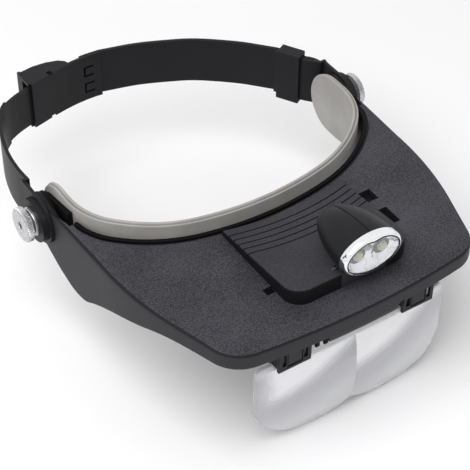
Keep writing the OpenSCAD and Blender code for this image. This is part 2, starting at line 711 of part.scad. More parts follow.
switch_y = -99;
switch_z = visor_top + 3.1;
barrel_at = [-case_front + 1.5, visor_top + barrel_r + 0.5];
seat = [[lamp_x - barrel_len/2 - 0.3, lamp_x + barrel_len/2 + 0.3],
    [-case_front - 1, barrel_at[0] + barrel_r + 0.4]];
module lamp_case() {
    color("#3a3a3f") difference() {
        intersection() {
            translate([0, 0, visor_top]) linear_extrude(20) polygon(case_plan(0));
            under_roof(0);
        }
        intersection() {
            translate([0, 0, visor_top - 1]) linear_extrude(20) difference() {
                polygon(case_plan(case_wall));
                translate([seat[0][0] - case_wall, -150])
                    square([seat[0][1] - seat[0][0] + 2 * case_wall, 150 + seat[1][1] + case_wall]);
            }
            under_roof(case_wall);
        }
        box(seat[0], seat[1], [visor_top - 1, visor_top + 30]);
        box(seat[0], [-case_front, -105], [visor_top + case_front_h - 2.6, visor_top + 30]);
        for (k = [0:rib_count - 1]) rib_groove(-case_back - 5 - k * rib_pitch);
        translate([lamp_x, barrel_at[0], barrel_at[1]]) rotate([0, 90, 0])
            cylinder(h = barrel_len + 6, d = lamp_pin_d + 2 * run_gap, center = true, $fn = 32);
        box([case_x1 - case_wall - 1, case_x1 + 1], [switch_y - 2 - switch_travel, switch_y + 2],
            [switch_z - 0.9, switch_z + 0.9]);
    }
}

// A rib groove follows the brow's curve, sunk into the sloping roof
module rib_groove(y) {
    intersection() {
        translate([case_x, y + 118, 0]) difference() {
            cylinder(h = 40, r = 118, $fn = 180);
            translate([0, 0, -1]) cylinder(h = 42, r = 118 - rib_w, $fn = 180);
        }
        box([case_x - rib_len/2, case_x + rib_len/2], [-100, -70], [0, 40]);
        difference() {
            under_roof(-5);
            under_roof(rib_depth);
        }
    }
}

cell_z = cell_low + cell_d/2;
rear_cell_y = tub_y[1] - case_wall - cell_d/2 - 2.4;
front_cell_y = rear_cell_y - cell_d - 0.6;
bay_front = front_cell_y - cell_d/2 - 0.6;
inner_x = [tub_x[0] + case_wall, tub_x[1] - case_wall];
// Base of the lamp unit: a flange on the visor, a battery bay open below and a floored front bay
module battery_tub() {
    color("#2a2a2e") difference() {
        union() {
            box(tub_x, tub_y, [tub_low + cover_t, visor_top]);
            translate([0, 0, visor_top]) linear_extrude(1) difference() {
                polygon(case_plan(case_wall + 0.1));
                translate([seat[0][0] - case_wall - 0.1, -150])
                    square([seat[0][1] - seat[0][0] + 2 * case_wall + 0.2, 150 + seat[1][1] + case_wall + 0.1]);
            }
        }
        box(inner_x, [bay_front, tub_y[1] - case_wall], [tub_low, visor_top + 2]);
        box(inner_x, [tub_y[0] + case_wall, bay_front - 1.2], [tub_low + cover_t + 1.2, visor_top + 2]);
    }
}

module battery_cover() {
    color("#2e2e33") union() {
        box(tub_x, [bay_front - 1.2, tub_y[1]], [tub_low, tub_low + cover_t]);
        for (k = [0:3]) box([tub_x[1] - 8 + 1.6 * k, tub_x[1] - 7.2 + 1.6 * k],
            [bay_front + 6, tub_y[1] - 8], [tub_low - 0.5, tub_low + 0.1]);
    }
}

plate_in = [inner_x[0] + 0.6, inner_x[1] - 0.6];
// A cell's contact nub touches one contact plate, a spring pushes at its flat end
module cell(y, side) {
    translate([side > 0 ? plate_in[1] - 0.05 : plate_in[0] + 0.05, y, cell_z]) mirror([side > 0 ? 1 : 0, 0, 0]) {
        along_x(0.8, cell_len, cell_d/2);
        along_x(0, 1, 1.9);
    }
}

module rear_cell() {
    color("#5f8f6a") cell(rear_cell_y, 1);
}

module front_cell() {
    color("#5f8f6a") cell(front_cell_y, -1);
}

module contact_plates() {
    color("#c8cacc") for (x = [inner_x[0] + 0.1, inner_x[1] - 0.6])
        box([x, x + 0.5], [front_cell_y - 4, rear_cell_y + 4], [cell_low + 0.6, visor_top + 1]);
}

module contact_springs() {
    color("#c8cacc") {
        translate([0, rear_cell_y, cell_z]) along_x(plate_in[0], plate_in[1] - 0.1 - cell_len, 2.4);
        translate([0, front_cell_y, cell_z]) along_x(plate_in[0] + 0.1 + cell_len, plate_in[1], 2.4);
    }
}

board_z = tub_low + cover_t + 1.2;
module driver_board() {
    y0 = tub_y[0] + case_wall;
    color("#2f6b46") union() {
        box([inner_x[0] + 2, inner_x[0] + 26], [y0 + 0.2, bay_front - 1.4], [board_z, board_z + 1.4]);
        box([inner_x[0] + 6, inner_x[0] + 12], [y0 + 4, y0 + 9], [board_z, board_z + 3]);
        box([inner_x[0] + 16, inner_x[0] + 19], [y0 + 3, y0 + 6], [board_z, board_z + 2.2]);
    }
}

module switch_slider() {
    color("#1c1c1f") union() {
        box([case_x1 - case_wall - 0.9, case_x1 + 0.9], [switch_y - 1.8, switch_y + 1.8],
            [switch_z - 0.8, switch_z + 0.8]);
        box([case_x1 - case_wall - 1.5, case_x1 - case_wall - 0.2], [switch_y - 3, switch_y + 3],
            [switch_z - 1.2, switch_z + 1.1]);
    }
}

module lamp_pin() {
    color("#c3c5c8") translate([lamp_x, barrel_at[0], barrel_at[1]]) rotate([0, 90, 0])
        cylinder(h = barrel_len + 5.4, d = lamp_pin_d, center = true, $fn = 32);
}

// Lamp head: half an egg behind a chrome bezel
lamp_z = visor_top + lamp_rise;
shell_front = -lamp_front + bezel_t;
module lamp_neck() {
    color("#2b2b2f") difference() {
        union() {
            translate([lamp_x - barrel_len/2, barrel_at[0], barrel_at[1]]) along_x(0, barrel_len, barrel_r);
            box([lamp_x - 5, lamp_x + 5], [barrel_at[0] - 2.6, barrel_at[0] + 2.6],
                [barrel_at[1], lamp_z - lamp_h/2 + 1.2]);
        }
        translate([lamp_x, barrel_at[0], barrel_at[1]]) rotate([0, 90, 0])
            cylinder(h = barrel_len + 2, d = lamp_pin_d + 2 * run_gap, center = true, $fn = 32);
        egg(0.1);
    }
}

module egg(grow) {
    translate([lamp_x, shell_front, lamp_z])
        scale([lamp_w/2 + grow, lamp_len + grow, lamp_h/2 + grow]) sphere(r = 1, $fn = 56);
}

module lamp_shell_half(side) {
    color("#1d1d20") difference() {
        intersection() {
            egg(0);
            box([side > 0 ? lamp_x : lamp_x - 30, side > 0 ? lamp_x + 30 : lamp_x],
                [shell_front, shell_front + 60], [0, 60]);
        }
        egg(-lamp_wall);
    }
}

module oval(a, b, y0, y1) {
    translate([lamp_x, 0, lamp_z]) front_profile(y0, y1) polygon(ellipse_pts(a, b, 48));
}

module lamp_bezel() {
    a = lamp_w/2;
    b = lamp_h/2;
    color("#d8dadd") difference() {
        union() {
            oval(a, b, -lamp_front + 1, shell_front);
            oval(a - 0.7, b - 0.7, -lamp_front, shell_front);
        }
        oval(a - bezel_rim, b - bezel_rim, -lamp_front - 1, -lamp_front + lamp_lens_t + 0.2);
        oval(a - bezel_rim - 1, b - bezel_rim - 1, -lamp_front - 1, shell_front + 1);
    }
}

module lamp_lens() {
    color("#e4e7ec", 0.4) oval(lamp_w/2 - bezel_rim - 0.1, lamp_h/2 - bezel_rim - 0.1,
        -lamp_front + 0.1, -lamp_front + 0.1 + lamp_lens_t);
}

board_y = shell_front + 1.6;
module lamp_board() {
    color("#c9ccce") oval(lamp_w/2 - lamp_wall - 0.2, lamp_h/2 - lamp_wall - 0.2, board_y, board_y + 1.2);
}

module led(side) {
    color("#e8e4b0") translate([lamp_x + side * led_gap/2, board_y, lamp_z]) rotate([90, 0, 0]) {
        cylinder(h = 0.8, r = led_d/2 + 0.6, $fn = 32);
        cylinder(h = 2.4, r = led_d/2, $fn = 32);
    }
}

left_arm();
right_arm();
rear_strap();
keeper_loop();
buckle_case();
release_lever();
lever_pin();
bracket(-1);  // left_bracket
bracket(1);  // right_bracket
brow_pad();
nut(-1);  // left_nut
nut(1);  // right_nut
washer(-1);  // left_washer
washer(1);  // right_washer
thumb_screw(-1);  // left_thumb_screw
thumb_screw(1);  // right_thumb_screw
visor_shell();
holder(-1);  // left_holder
holder(1);  // right_holder
holder_screws();
lens_plate();
lamp_case();
battery_tub();
battery_cover();
rear_cell();
front_cell();
contact_plates();
contact_springs();
driver_board();
switch_slider();
lamp_pin();
lamp_neck();
lamp_shell_half(-1);  // lamp_shell_left
lamp_shell_half(1);  // lamp_shell_right
lamp_bezel();
lamp_lens();
lamp_board();
led(-1);  // led_left
led(1);  // led_right
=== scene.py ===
"""Lighted headband magnifier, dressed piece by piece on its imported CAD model."""
import math

import bmesh
import bpy
from mathutils import Matrix, Vector


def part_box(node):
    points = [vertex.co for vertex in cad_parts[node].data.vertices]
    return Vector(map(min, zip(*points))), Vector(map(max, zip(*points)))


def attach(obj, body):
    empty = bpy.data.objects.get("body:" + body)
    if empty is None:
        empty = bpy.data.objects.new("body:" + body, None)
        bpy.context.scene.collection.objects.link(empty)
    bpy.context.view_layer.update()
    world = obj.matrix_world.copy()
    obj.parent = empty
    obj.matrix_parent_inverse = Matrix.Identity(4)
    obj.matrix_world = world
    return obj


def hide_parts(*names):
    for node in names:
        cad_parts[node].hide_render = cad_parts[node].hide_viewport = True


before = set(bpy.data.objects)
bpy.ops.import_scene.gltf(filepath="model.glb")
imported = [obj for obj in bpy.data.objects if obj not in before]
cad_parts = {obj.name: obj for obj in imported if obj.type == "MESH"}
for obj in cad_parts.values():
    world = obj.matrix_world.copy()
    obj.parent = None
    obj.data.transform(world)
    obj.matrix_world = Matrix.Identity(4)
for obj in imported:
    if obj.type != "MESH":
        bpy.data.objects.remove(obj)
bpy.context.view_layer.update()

# Brow pad: a grey rubber band that spreads over the forehead and ends in two round paddles.
# It is moulded in one piece 3 mm thick, with a narrow double bead standing along its whole edge.


class Wire:
    """One socket in a finish. Arithmetic on wires adds Math nodes."""

    def __init__(self, tree, socket=None):
        self.tree, self.socket = tree, socket

    def add(self, kind, settings=(), inputs=(), out=0):
        """A new node of this kind: its settings first, then its sockets' values or wires."""
        node = self.tree.nodes.new("ShaderNode" + kind)
        for key, value in dict(settings).items():
            setattr(node, key, value)
        for key, value in dict(inputs).items():
            if isinstance(value, Wire):
                self.tree.links.new(value.socket, node.inputs[key])
            else:
                node.inputs[key].default_value = value
        return Wire(self.tree, node.outputs[out])

    def maths(self, operation, a, b):
        return self.add("Math", {"operation": operation}, {0: a, 1: b})

    def __add__(self, other):
        return self.maths("ADD", self, other)

    def __sub__(self, other):
        return self.maths("SUBTRACT", self, other)

    def __rsub__(self, other):
        return self.maths("SUBTRACT", other, self)

    def __mul__(self, other):
        return self.maths("MULTIPLY", self, other)

    def __lt__(self, other):
        return self.maths("LESS_THAN", self, other)

    def __gt__(self, other):
        return self.maths("GREATER_THAN", self, other)

    __radd__, __rmul__ = __add__, __mul__

    def along(self, axis):
        """One coordinate, X, Y or Z, of a place in metres."""
        return self.add("SeparateXYZ", {}, {0: self}, out=axis)

    def between(self, low, high):
        """0 at low, 1 at high, smooth in between."""
        return self.add("MapRange", {"interpolation_type": "SMOOTHSTEP"},
                        {"Value": self, "From Min": low, "From Max": high})

    def blend(self, low, high):
        """The colour low where this is 0, and high where it is 1."""
        factor, first, second, colour = 0, 6, 7, 2
        return self.add("Mix", {"data_type": "RGBA"}, {factor: self, first: low, second: high}, out=colour)

    def noise(self, size, detail=2.0, stretch=(1, 1, 1)):
        """Cloudy noise whose lumps are about size mm across."""
        place = self.add("VectorMath", {"operation": "MULTIPLY"}, {0: self, 1: stretch})
        return self.add("TexNoise", {}, {"Vector": place, "Scale": 1000 / size, "Detail": detail})

    def relief(self, height, depth, strength):
        """Bumps up to depth mm high, for the Normal socket."""
        return self.add("Bump", {}, {"Height": height, "Distance": depth / 1000, "Strength": strength})


def tone(red, green, blue):
    """A colour read off a screen, as the shader wants it."""
    return tuple(((c / 255 + 0.055) / 1.055) ** 2.4 for c in (red, green, blue)) + (1.0,)


def finish(name, steady, look):
    """A material: steady holds the constants, look(at) what changes over the surface."""
    material = bpy.data.materials.new(name)
    material.use_nodes = True
    tree = material.node_tree
    surface = tree.nodes["Principled BSDF"]
    for key, value in steady.items():
        surface.inputs[key].default_value = value
    at = Wire(tree).add("TexCoord", out="Object")
    for key, wire in look(at).items():
        tree.links.new(wire.socket, surface.inputs[key])
    return material


def skin(rows, around=False, ends=False):
    """A mesh over rows of points in mm; None leaves a hole. around closes each row, ends caps them."""
    shape = bmesh.new()
    grid = [[p and shape.verts.new(p) for p in row] for row in rows]
    wide = len(rows[0])
    for a, b in zip(grid, grid[1:]):
        for j in range(wide if around else wide - 1):
            corners = [a[j], a[(j + 1) % wide], b[(j + 1) % wide], b[j]]
            if all(corners):
                shape.faces.new(corners)
    if ends:
        for row in (grid[0], grid[-1]):
            shape.faces.new(row)
    return shape


def place(name, shape, body, slot, paint, stands_for=None, soften=0, crisp=32):
    """Puts a mesh in mm into the scene, on its body, in its finish, for the node it stands for.
    Edges sharper than crisp degrees stay sharp, or get rounded by soften mm."""
    bmesh.ops.remove_doubles(shape, verts=shape.verts, dist=0.002)
    bmesh.ops.recalc_face_normals(shape, faces=shape.faces)
    mesh = bpy.data.meshes.new(name)
    shape.to_mesh(mesh)
    shape.free()
    mesh.transform(Matrix.Scale(0.001, 4))
    mesh.shade_smooth()
    mesh.set_sharp_from_angle(angle=math.radians(crisp))
    made = bpy.data.objects.new(name, mesh)
    bpy.context.scene.collection.objects.link(made)
    mesh.materials.append(paint)
    if soften:
        edge = made.modifiers.new("rounded edges", "BEVEL")
        edge.width, edge.segments, edge.limit_method = soften / 1000, 2, "ANGLE"
        edge.angle_limit, edge.harden_normals = math.radians(crisp), True
    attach(made, body)
    if stands_for:
        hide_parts(stands_for)


def arc(x, y, r, start, end, count):
    """Points of an arc in plan, from one angle to another in degrees."""
    turns = [math.radians(start + (end - start) * i / count) for i in range(count + 1)]
    return [(x + r * math.cos(a), y + r * math.sin(a)) for a in turns]


def brow_curve(r1, r2, y0, half, count):
    """Half of the brow's plan line: three arcs from the middle at y0 to where it runs straight back."""
    turn1, turn2 = 14, 46
    a, b = math.radians(turn1), math.radians(turn2)
    r3 = (half - r1 * math.sin(a) - r2 * (math.sin(b) - math.sin(a))) / (1 - math.sin(b))
    y1 = y0 + r1 - (r1 - r2) * math.cos(a)
    x1 = (r1 - r2) * math.sin(a)
    x2, y2 = x1 + (r2 - r3) * math.sin(b), y1 - (r2 - r3) * math.cos(b)
    return (arc(0, y0 + r1, r1, -90, turn1 - 90, count)[:-1]
            + arc(x1, y1, r2, turn1 - 90, turn2 - 90, count)[:-1]
            + arc(x2, y2, r3, turn2 - 90, 0, count))


def both_sides(half):
    """A half plan line with its mirror image before it, from left to right."""
    return [(-x, y) for x, y in half[:0:-1]] + half


def walk(line):
    """Running length and left-hand normal at each point of a plan line."""
    out, gone = [], 0
    for i, (x, y) in enumerate(line):
        if i:
            gone += math.dist(line[i - 1], line[i])
        a, b = line[max(i - 1, 0)], line[min(i + 1, len(line) - 1)]
        step = math.dist(a, b)
        out.append((gone, (-(b[1] - a[1]) / step, (b[0] - a[0]) / step)))
    return out


def ease(t):
    """A smooth step from 0 to 1."""
    t = min(max(t, 0), 1)
    return t * t * (3 - 2 * t)


PAD_HALF = 80.4
PAD_FRONT = -63.1
PAD_TOP, PAD_FOOT = 18.2, -6
BROW_DIP, PADDLE_DROP = 0.8, 10
PADDLE_Y = -6.1
PADDLE_R = (PAD_TOP - PAD_FOOT + PADDLE_DROP) / 2
PADDLE_Z = PAD_TOP - PADDLE_R

pad_half = brow_curve(r1=150, r2=70.6, y0=PAD_FRONT, half=PAD_HALF, count=14)
curve_end = pad_half[-1][1]
pad_half += [(PAD_HALF, curve_end + k * (PADDLE_Y - curve_end) / 8) for k in range(1, 9)]

# The band's edge in section, from its outer face over to its inner one: drop from the edge, depth.
bead = [(5.0, 0), (1.6, 0), (1.1, 0.02), (0.8, 0.12), (0.6, 0.32), (0.58, 0.55), (0.7, 0.75),
        (1.2, 0.95), (1.5, 1.1), (1.5, 1.3), (1.2, 1.42), (0.6, 1.5), (0.25, 1.62), (0.05, 1.85),
        (0, 2.15), (0.08, 2.55), (0.35, 2.88), (0.8, 3.0), (1.3, 3.0), (5.0, 3.0)]


def pad_edges(y):
    """Heights of the band's top and bottom edge."""
    return PAD_TOP - BROW_DIP * ease((-40 - y) / 20), PAD_FOOT - PADDLE_DROP * ease((y + 48) / 36)


def pad_rows():
    """Rows around the band's section, from the left paddle's round end to the right one."""
    line = both_sides(pad_half)
    rows = []
    for (x, y), (_, (nx, ny)) in zip(line, walk(line)):
        high, low = pad_edges(y)
        row = [(x + t * nx, y + t * ny, high - d) for d, t in bead]
        row += [(x + t * nx, y + t * ny, low + d) for d, t in reversed(bead)]
        rows.append(row)
    for side, spot in ((1, len(rows)), (-1, 0)):
        extra = []
        for k in range(1, 13):
            a = math.radians(7.5 * k)
            row = []
            for way, section in ((1, bead), (-1, bead[::-1])):
                row += [(side * (PAD_HALF - t), PADDLE_Y + (PADDLE_R - d) * math.sin(a),
                         PADDLE_Z + way * (PADDLE_R - d) * math.cos(a)) for d, t in section]
            extra.append(row)
        rows[spot:spot] = extra if side > 0 else extra[::-1]
    return rows


def soft_rubber(at):
    cloud = at.noise(14, 3)
    grain = at.noise(0.35, 2)
    colour = cloud.between(0.3, 0.75).blend(tone(157, 154, 150), tone(169, 166, 162))
    return {"Base Color": colour, "Roughness": 0.5 + 0.12 * grain,
            "Normal": at.relief(grain, 0.02, 0.5)}


rubber = finish("grey_soft_rubber", {"Specular IOR Level": 0.4}, soft_rubber)
place("brow_pad_moulding", skin(pad_rows(), around=True), "brow_band", "pad", rubber, "brow_pad",
      crisp=60)

# Temple brackets and nuts: black moulded plates riveted outside each paddle, with a round boss
# on the pivot; a square brass nut is pressed into each and takes the thumb screw.


def cad_form(node):
    """The node's own mesh in mm, its flat faces joined again, so that its edges can be rounded."""
    shape = bmesh.new()
    shape.from_mesh(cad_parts[node].data)
    bmesh.ops.scale(shape, vec=(1000, 1000, 1000), verts=shape.verts)
    bmesh.ops.remove_doubles(shape, verts=shape.verts, dist=0.003)
    bmesh.ops.dissolve_limit(shape, angle_limit=0.012, verts=shape.verts, edges=shape.edges)
    return shape


def dress(node, name, body, slot, paint, soften):
    """A finished copy of the node with its edges rounded."""
    place(name, cad_form(node), body, slot, paint, node, soften=soften)


def moulded(dark, light, gloss):
    """Moulded plastic: its tone drifts a little, its skin has a fine even grain."""
    def look(at):
        drift = at.noise(26, 2)
        grain = at.noise(0.45, 2)
        return {"Base Color": drift.between(0.3, 0.7).blend(dark, light),
                "Roughness": gloss + 0.14 * grain, "Normal": at.relief(grain, 0.02, 0.5)}
    return look


black_plastic = finish("black_moulded_plastic", {"Specular IOR Level": 0.18},
                       moulded(tone(22, 22, 24), tone(28, 28, 30), 0.36))
# Near-black: the dull black of some parts, and also painted shade on the brow lip, the hooks under the front
# and the window pockets.
black_or_shade = finish("dull_black_plastic_or_painted_shade", {"Specular IOR Level": 0.1},
                    moulded(tone(6, 6, 7), tone(10, 10, 11), 0.6))
BRACKET_END, END_TAPER, SHOULDER_Z = 11.6, 0.6, 10.3

for side in ("left", "right"):
    plate = cad_form(side + "_bracket")
    for v in plate.verts:
        at_the_end = v.co.y > 12.5
        on_the_shoulder = v.co.y > 2.5 and v.co.z > 11.2
        if at_the_end:
            v.co.y, v.co.z = BRACKET_END, v.co.z * END_TAPER
        elif on_the_shoulder:
            v.co.z = SHOULDER_Z
    place(side + "_bracket_moulding", plate, "brow_band", "bracket", black_or_shade, side + "_bracket",
          soften=0.4)


def drawn_brass(at):
    streak = at.noise(0.6, 2, (0.1, 1, 1))
    return {"Base Color": streak.blend(tone(176, 142, 76), tone(206, 178, 110)),
            "Roughness": 0.22 + 0.2 * streak}


brass = finish("pressed_brass", {"Metallic": 1.0}, drawn_brass)
for side in ("left", "right"):
    dress(side + "_nut", side + "_square_nut", "brow_band", "nut", brass, 0.25)

# Headband: two springy black arms, each with its round temple disc, and a rear strap that laps
# the right arm and ends in a rounded tail. All are satin nylon strips, moulded flat and bent.


def satin_nylon(at):
    drift = at.noise(30, 2)
    grain = at.noise(0.3, 2)
    streak = at.noise(0.5, 1, (1, 1, 0.06))
    return {"Base Color": drift.blend(tone(24, 24, 26), tone(31, 31, 34)),
            "Roughness": 0.34 + 0.1 * grain + 0.1 * streak, "Normal": at.relief(grain, 0.012, 0.4)}


nylon = finish("satin_black_nylon", {"Specular IOR Level": 0.15}, satin_nylon)
dress("left_arm", "left_arm_strip", "headband", "strap", nylon, 0.3)
dress("right_arm", "right_arm_strip", "headband", "strap", nylon, 0.3)
dress("rear_strap", "rear_strap_strip", "headband", "strap", nylon, 0.4)
dress("keeper_loop", "keeper_loop_moulding", "headband", "strap", nylon, 0.4)

# Buckle: a moulded case with an inner plate, two spring tabs and a humped back; the release
# lever turns on a steel pin and its pawl drops into the toothed tongue of the left arm.

MOUTH_BAR = 85.4
SLOT_SHIFT, SLOT_GROWTH = 3.7, 0.25
SLOT_OUTER_EDGES = (-8.6, -3.2, 1.8, 7.2)
SLOT_HEEL, HEEL_SQUEEZE = -15, 0.49
PLATE_MIDDLE, PLATE_BOW = -14.8, 0.0065

case = cad_form("buckle_case")
for v in case.verts:
    x, y, z = v.co
    if x < -50.5 and 89 < y < 90:
        v.co.y = MOUTH_BAR
    if y < 85.3 and -21.5 < x < -7.6:
        # the slots round the two spring tabs are widened and slid along the bowed inner plate
        if abs(z) < 9.5:
            z += SLOT_GROWTH if any(abs(z - edge) < 0.1 for edge in SLOT_OUTER_EDGES) else -SLOT_GROWTH
            x += -SLOT_GROWTH if x < -20.5 else SLOT_GROWTH if x < -19.5 else 0
        v.co.x = SLOT_SHIFT + (x if x < SLOT_HEEL else SLOT_HEEL + (x - SLOT_HEEL) * HEEL_SQUEEZE)
        v.co.y = y + PLATE_BOW * ((x - PLATE_MIDDLE) ** 2 - (v.co.x - PLATE_MIDDLE) ** 2)
        v.co.z = z
place("buckle_case_moulding", case, "headband", "strap", nylon, "buckle_case", soften=0.3)
dress("release_lever", "release_lever_moulding", "buckle_lever", "strap", nylon, 0.3)


def bright_steel(at):
    streak = at.noise(0.4, 2, (1, 1, 0.08))
    return {"Base Color": streak.blend(tone(186, 188, 190), tone(206, 208, 211)),
            "Roughness": 0.16 + 0.16 * streak}


steel = finish("bright_steel", {"Metallic": 1.0}, bright_steel)
dress("lever_pin", "lever_steel_pin", "headband", "screw_head", steel, 0.15)

# Thumb screws and washers: turned brass with a thick nickel plating. The heads are knurled on
# their rim and have a small socket in their face; a stepped washer lies under each.


def turned(profile, count, ripple=None):
    """A turned part about the pivot axis: profile holds (x, radius) pairs along it."""
    rows = []
    for x, r in profile:
        row = []
        for k in range(count):
            a = 2 * math.pi * k / count
            q = r + (ripple(x, k) if ripple else 0)
            row.append((x, q * math.cos(a), q * math.sin(a)))
        rows.append(row)
    return skin(rows, around=True, ends=True)


def nickel_plate(at):
    """Nickel with turning marks about the pivot axis, and painted shade inside the socket."""
    off_axis = at.add("VectorMath", {"operation": "MULTIPLY"}, {0: at, 1: (0, 1, 1)})
    ring = at.add("VectorMath", {"operation": "LENGTH"}, {0: off_axis}, out="Value")
    turning = at.add("TexNoise", {"noise_dimensions": "1D"}, {"W": ring, "Scale": 9000, "Detail": 3})
    speck = at.noise(0.8, 3)
    plated = speck.between(0.4, 0.7).blend(tone(182, 182, 183), tone(212, 212, 214))
    return {"Base Color": ring.between(0.0016, 0.0019).blend(tone(34, 34, 36), plated),
            "Roughness": 0.2 + 0.2 * turning, "Normal": at.relief(turning, 0.01, 0.35)}


nickel = finish("nickel_plate", {"Metallic": 1.0}, nickel_plate)
KNURLS, KNURL_DEPTH, AROUND = 50, 0.6, 300
RIM_START, RIM_END = 95.3, 98.2


def knurl(x, k):
    """How far the rim's grooves lower the radius."""
    if not RIM_START < abs(x) < RIM_END:
        return 0
    return -KNURL_DEPTH * (0.5 - 0.5 * math.cos(2 * math.pi * KNURLS * k / AROUND)) ** 0.6


screw_line = [(80.9, 1.6), (81.1, 2.0), (93.7, 2.0), (93.8, 2.4), (93.8, 5.2), (94.0, 5.5), (94.9, 5.5),
              (95.0, 5.7), (95.0, 8.0), (95.05, 8.3), (95.3, 8.62), (95.4, 8.75), (95.6, 8.8), (96.4, 8.8),
              (97.2, 8.8), (97.9, 8.8), (98.1, 8.7), (98.3, 8.5), (98.6, 8.15), (98.75, 7.9), (98.8, 7.5),
              (98.8, 5.0), (98.8, 2.1), (98.7, 1.95), (98.5, 1.9), (97.0, 1.8), (96.8, 1.6), (96.8, 0.8),
              (96.8, 0.2)]
washer_line = [(92.2, 2.3), (92.2, 7.1), (92.3, 7.3), (92.8, 7.3), (92.95, 7.1), (93.0, 6.7),
               (93.5, 6.5), (93.7, 6.2), (93.7, 2.3)]
for side, way in (("left", -1), ("right", 1)):
    place(side + "_knurled_screw", turned([(way * x, r) for x, r in screw_line], AROUND, knurl),
          side + "_screw", "nickel", nickel, side + "_thumb_screw", crisp=40)
    place(side + "_flange_washer", turned([(way * x, r) for x, r in washer_line], 96),
          "headband", "nickel", nickel, side + "_washer", crisp=40)

# Visor: one black injection-moulded shell, 2 mm thick, with a spark-eroded skin. Deep side lobes
# end in the pivot ears, a narrow lip rims the brow edge, and the lamp unit drops into its top.

VISOR_WALL = 2
VISOR_TOP = 11
EDGE_ROLL, FRONT_ROLL = 2.2, 1.1
EAR_R = 12.4
SIDE_X = 86.9
BROW_HALF, BROW_FRONT = 80.6, -65.8
FLANK_R, FLANK_TURN = 170, -17.7
CORNER_R, CORNER_TURN = 18, -82.66
FRONT_R, FRONT_MIDDLE_Y = 435, 293.65
LEDGE_W, LEDGE_ROOM = 4.6, 5.4


def through(knots, x):
    """A smooth line through given knots (x falling or rising), read at x."""
    knots = sorted(knots)
    if x <= knots[0][0]:
        return knots[0][1]
    for i in range(len(knots) - 1):
        (x1, y1), (x2, y2) = knots[i], knots[i + 1]
        if x <= x2:
            x0, y0 = knots[max(i - 1, 0)]
            x3, y3 = knots[min(i + 2, len(knots) - 1)]
            t, span = (x - x1) / (x2 - x1), x2 - x1
            m1 = (y2 - y0) / (x2 - x0) * span
            m2 = (y3 - y1) / (x3 - x1) * span
            return ((2 * t**3 - 3 * t**2 + 1) * y1 + (t**3 - 2 * t**2 + t) * m1
                    + (3 * t**2 - 2 * t**3) * y2 + (t**3 - t**2) * m2)
    return knots[-1][1]


# The side wall's lower edge, y and height, from the ear to the front rim.
skirt = [(8, -9.4), (0, -15), (-9.5, -19.8), (-18, -23.3), (-25.2, -25.9), (-32, -26.5), (-38.5, -25.2),
         (-46, -20.6), (-62.5, -12), (-84, -4), (-96, 0.1), (-107, 1.9), (-126, 2.8), (-150, 3)]
brow = [p for p in brow_curve(r1=153, r2=73.6, y0=BROW_FRONT, half=BROW_HALF, count=16) if p[1] < -24]
brow += [(80.55, -23.5)]

# The step down from the top to the ledge under the lip: distance from the brow edge, height.
ledge = [(LEDGE_W, VISOR_TOP), (3.2, VISOR_TOP), (3.0, 10.95), (2.9, 10.8), (2.88, 10.4), (2.8, 10.15),
         (2.65, 10.1), (1.5, 10.1), (0, 10.1)]


def visor_half():
    """Right half of the visor's plan: ear, straight cheek, flank, straight run, corner, front."""
    line = [(SIDE_X, 12.35 * math.sin(math.radians(90 - 9 * k))) for k in range(10)]
    line += [(SIDE_X, -2.5 * k) for k in range(1, 7)]
    line += [(SIDE_X - 0.04054 * k, -15 - k) for k in range(3, 37, 3)]
    line += arc(-84.6, -52, FLANK_R, 0, FLANK_TURN, 14)
    line += [(77.35 - 6.93 * k / 5, -103.69 - 21.72 * k / 5) for k in range(1, 5)]
    line += arc(53.27, -119.94, CORNER_R, FLANK_TURN, CORNER_TURN, 16)
    return line + arc(0, FRONT_MIDDLE_Y, FRONT_R, CORNER_TURN, -90, 24)[1:]


def wall_row(x, y, nx, ny):
    """The side wall from its lower edge up, and the rolled edge over it. The roll starts in front
    of the ear and is tighter at the front."""
    roll = EDGE_ROLL - (EDGE_ROLL - FRONT_ROLL) * ease((-112 - y) / 18)
    roll *= ease((-11 - y) / 12)
    ear = math.sqrt(max(EAR_R**2 - y * y, 0)) if y > -EAR_R else 0
    low = -ear if y > 8 else through(skirt, y)
    high = max(ear, VISOR_TOP if y < 1.5 else 0)
    row = [(x, y, low + (high - EDGE_ROLL - low) * k / 8) for k in range(9)]
    for k in range(1, 7):
        a = math.radians(15 * k)
        inset = roll * (1 - math.cos(a))
        rise = math.sin(a) * (roll / EDGE_ROLL) + (k / 6) * (1 - roll / EDGE_ROLL)
        row.append((x - nx * inset, y - ny * inset, high - EDGE_ROLL + EDGE_ROLL * rise))
    return row


def top_row(px, py, bx, by):
    """The flat top from the rolled edge at p to the brow edge at b, with the ledge along it.
    Where the top has less than the ledge's room, the ledge narrows with it."""
    far = math.dist((px, py), (bx, by))
    part = min(1, far / LEDGE_ROOM)
    cuts = [(k / 9 * (1 - LEDGE_W * part / far), VISOR_TOP) for k in range(1, 9)]
    cuts += [(1 - d * part / far, z) for d, z in ledge]
    return [(px + t * (bx - px), py + t * (by - py), z) for t, z in cuts]


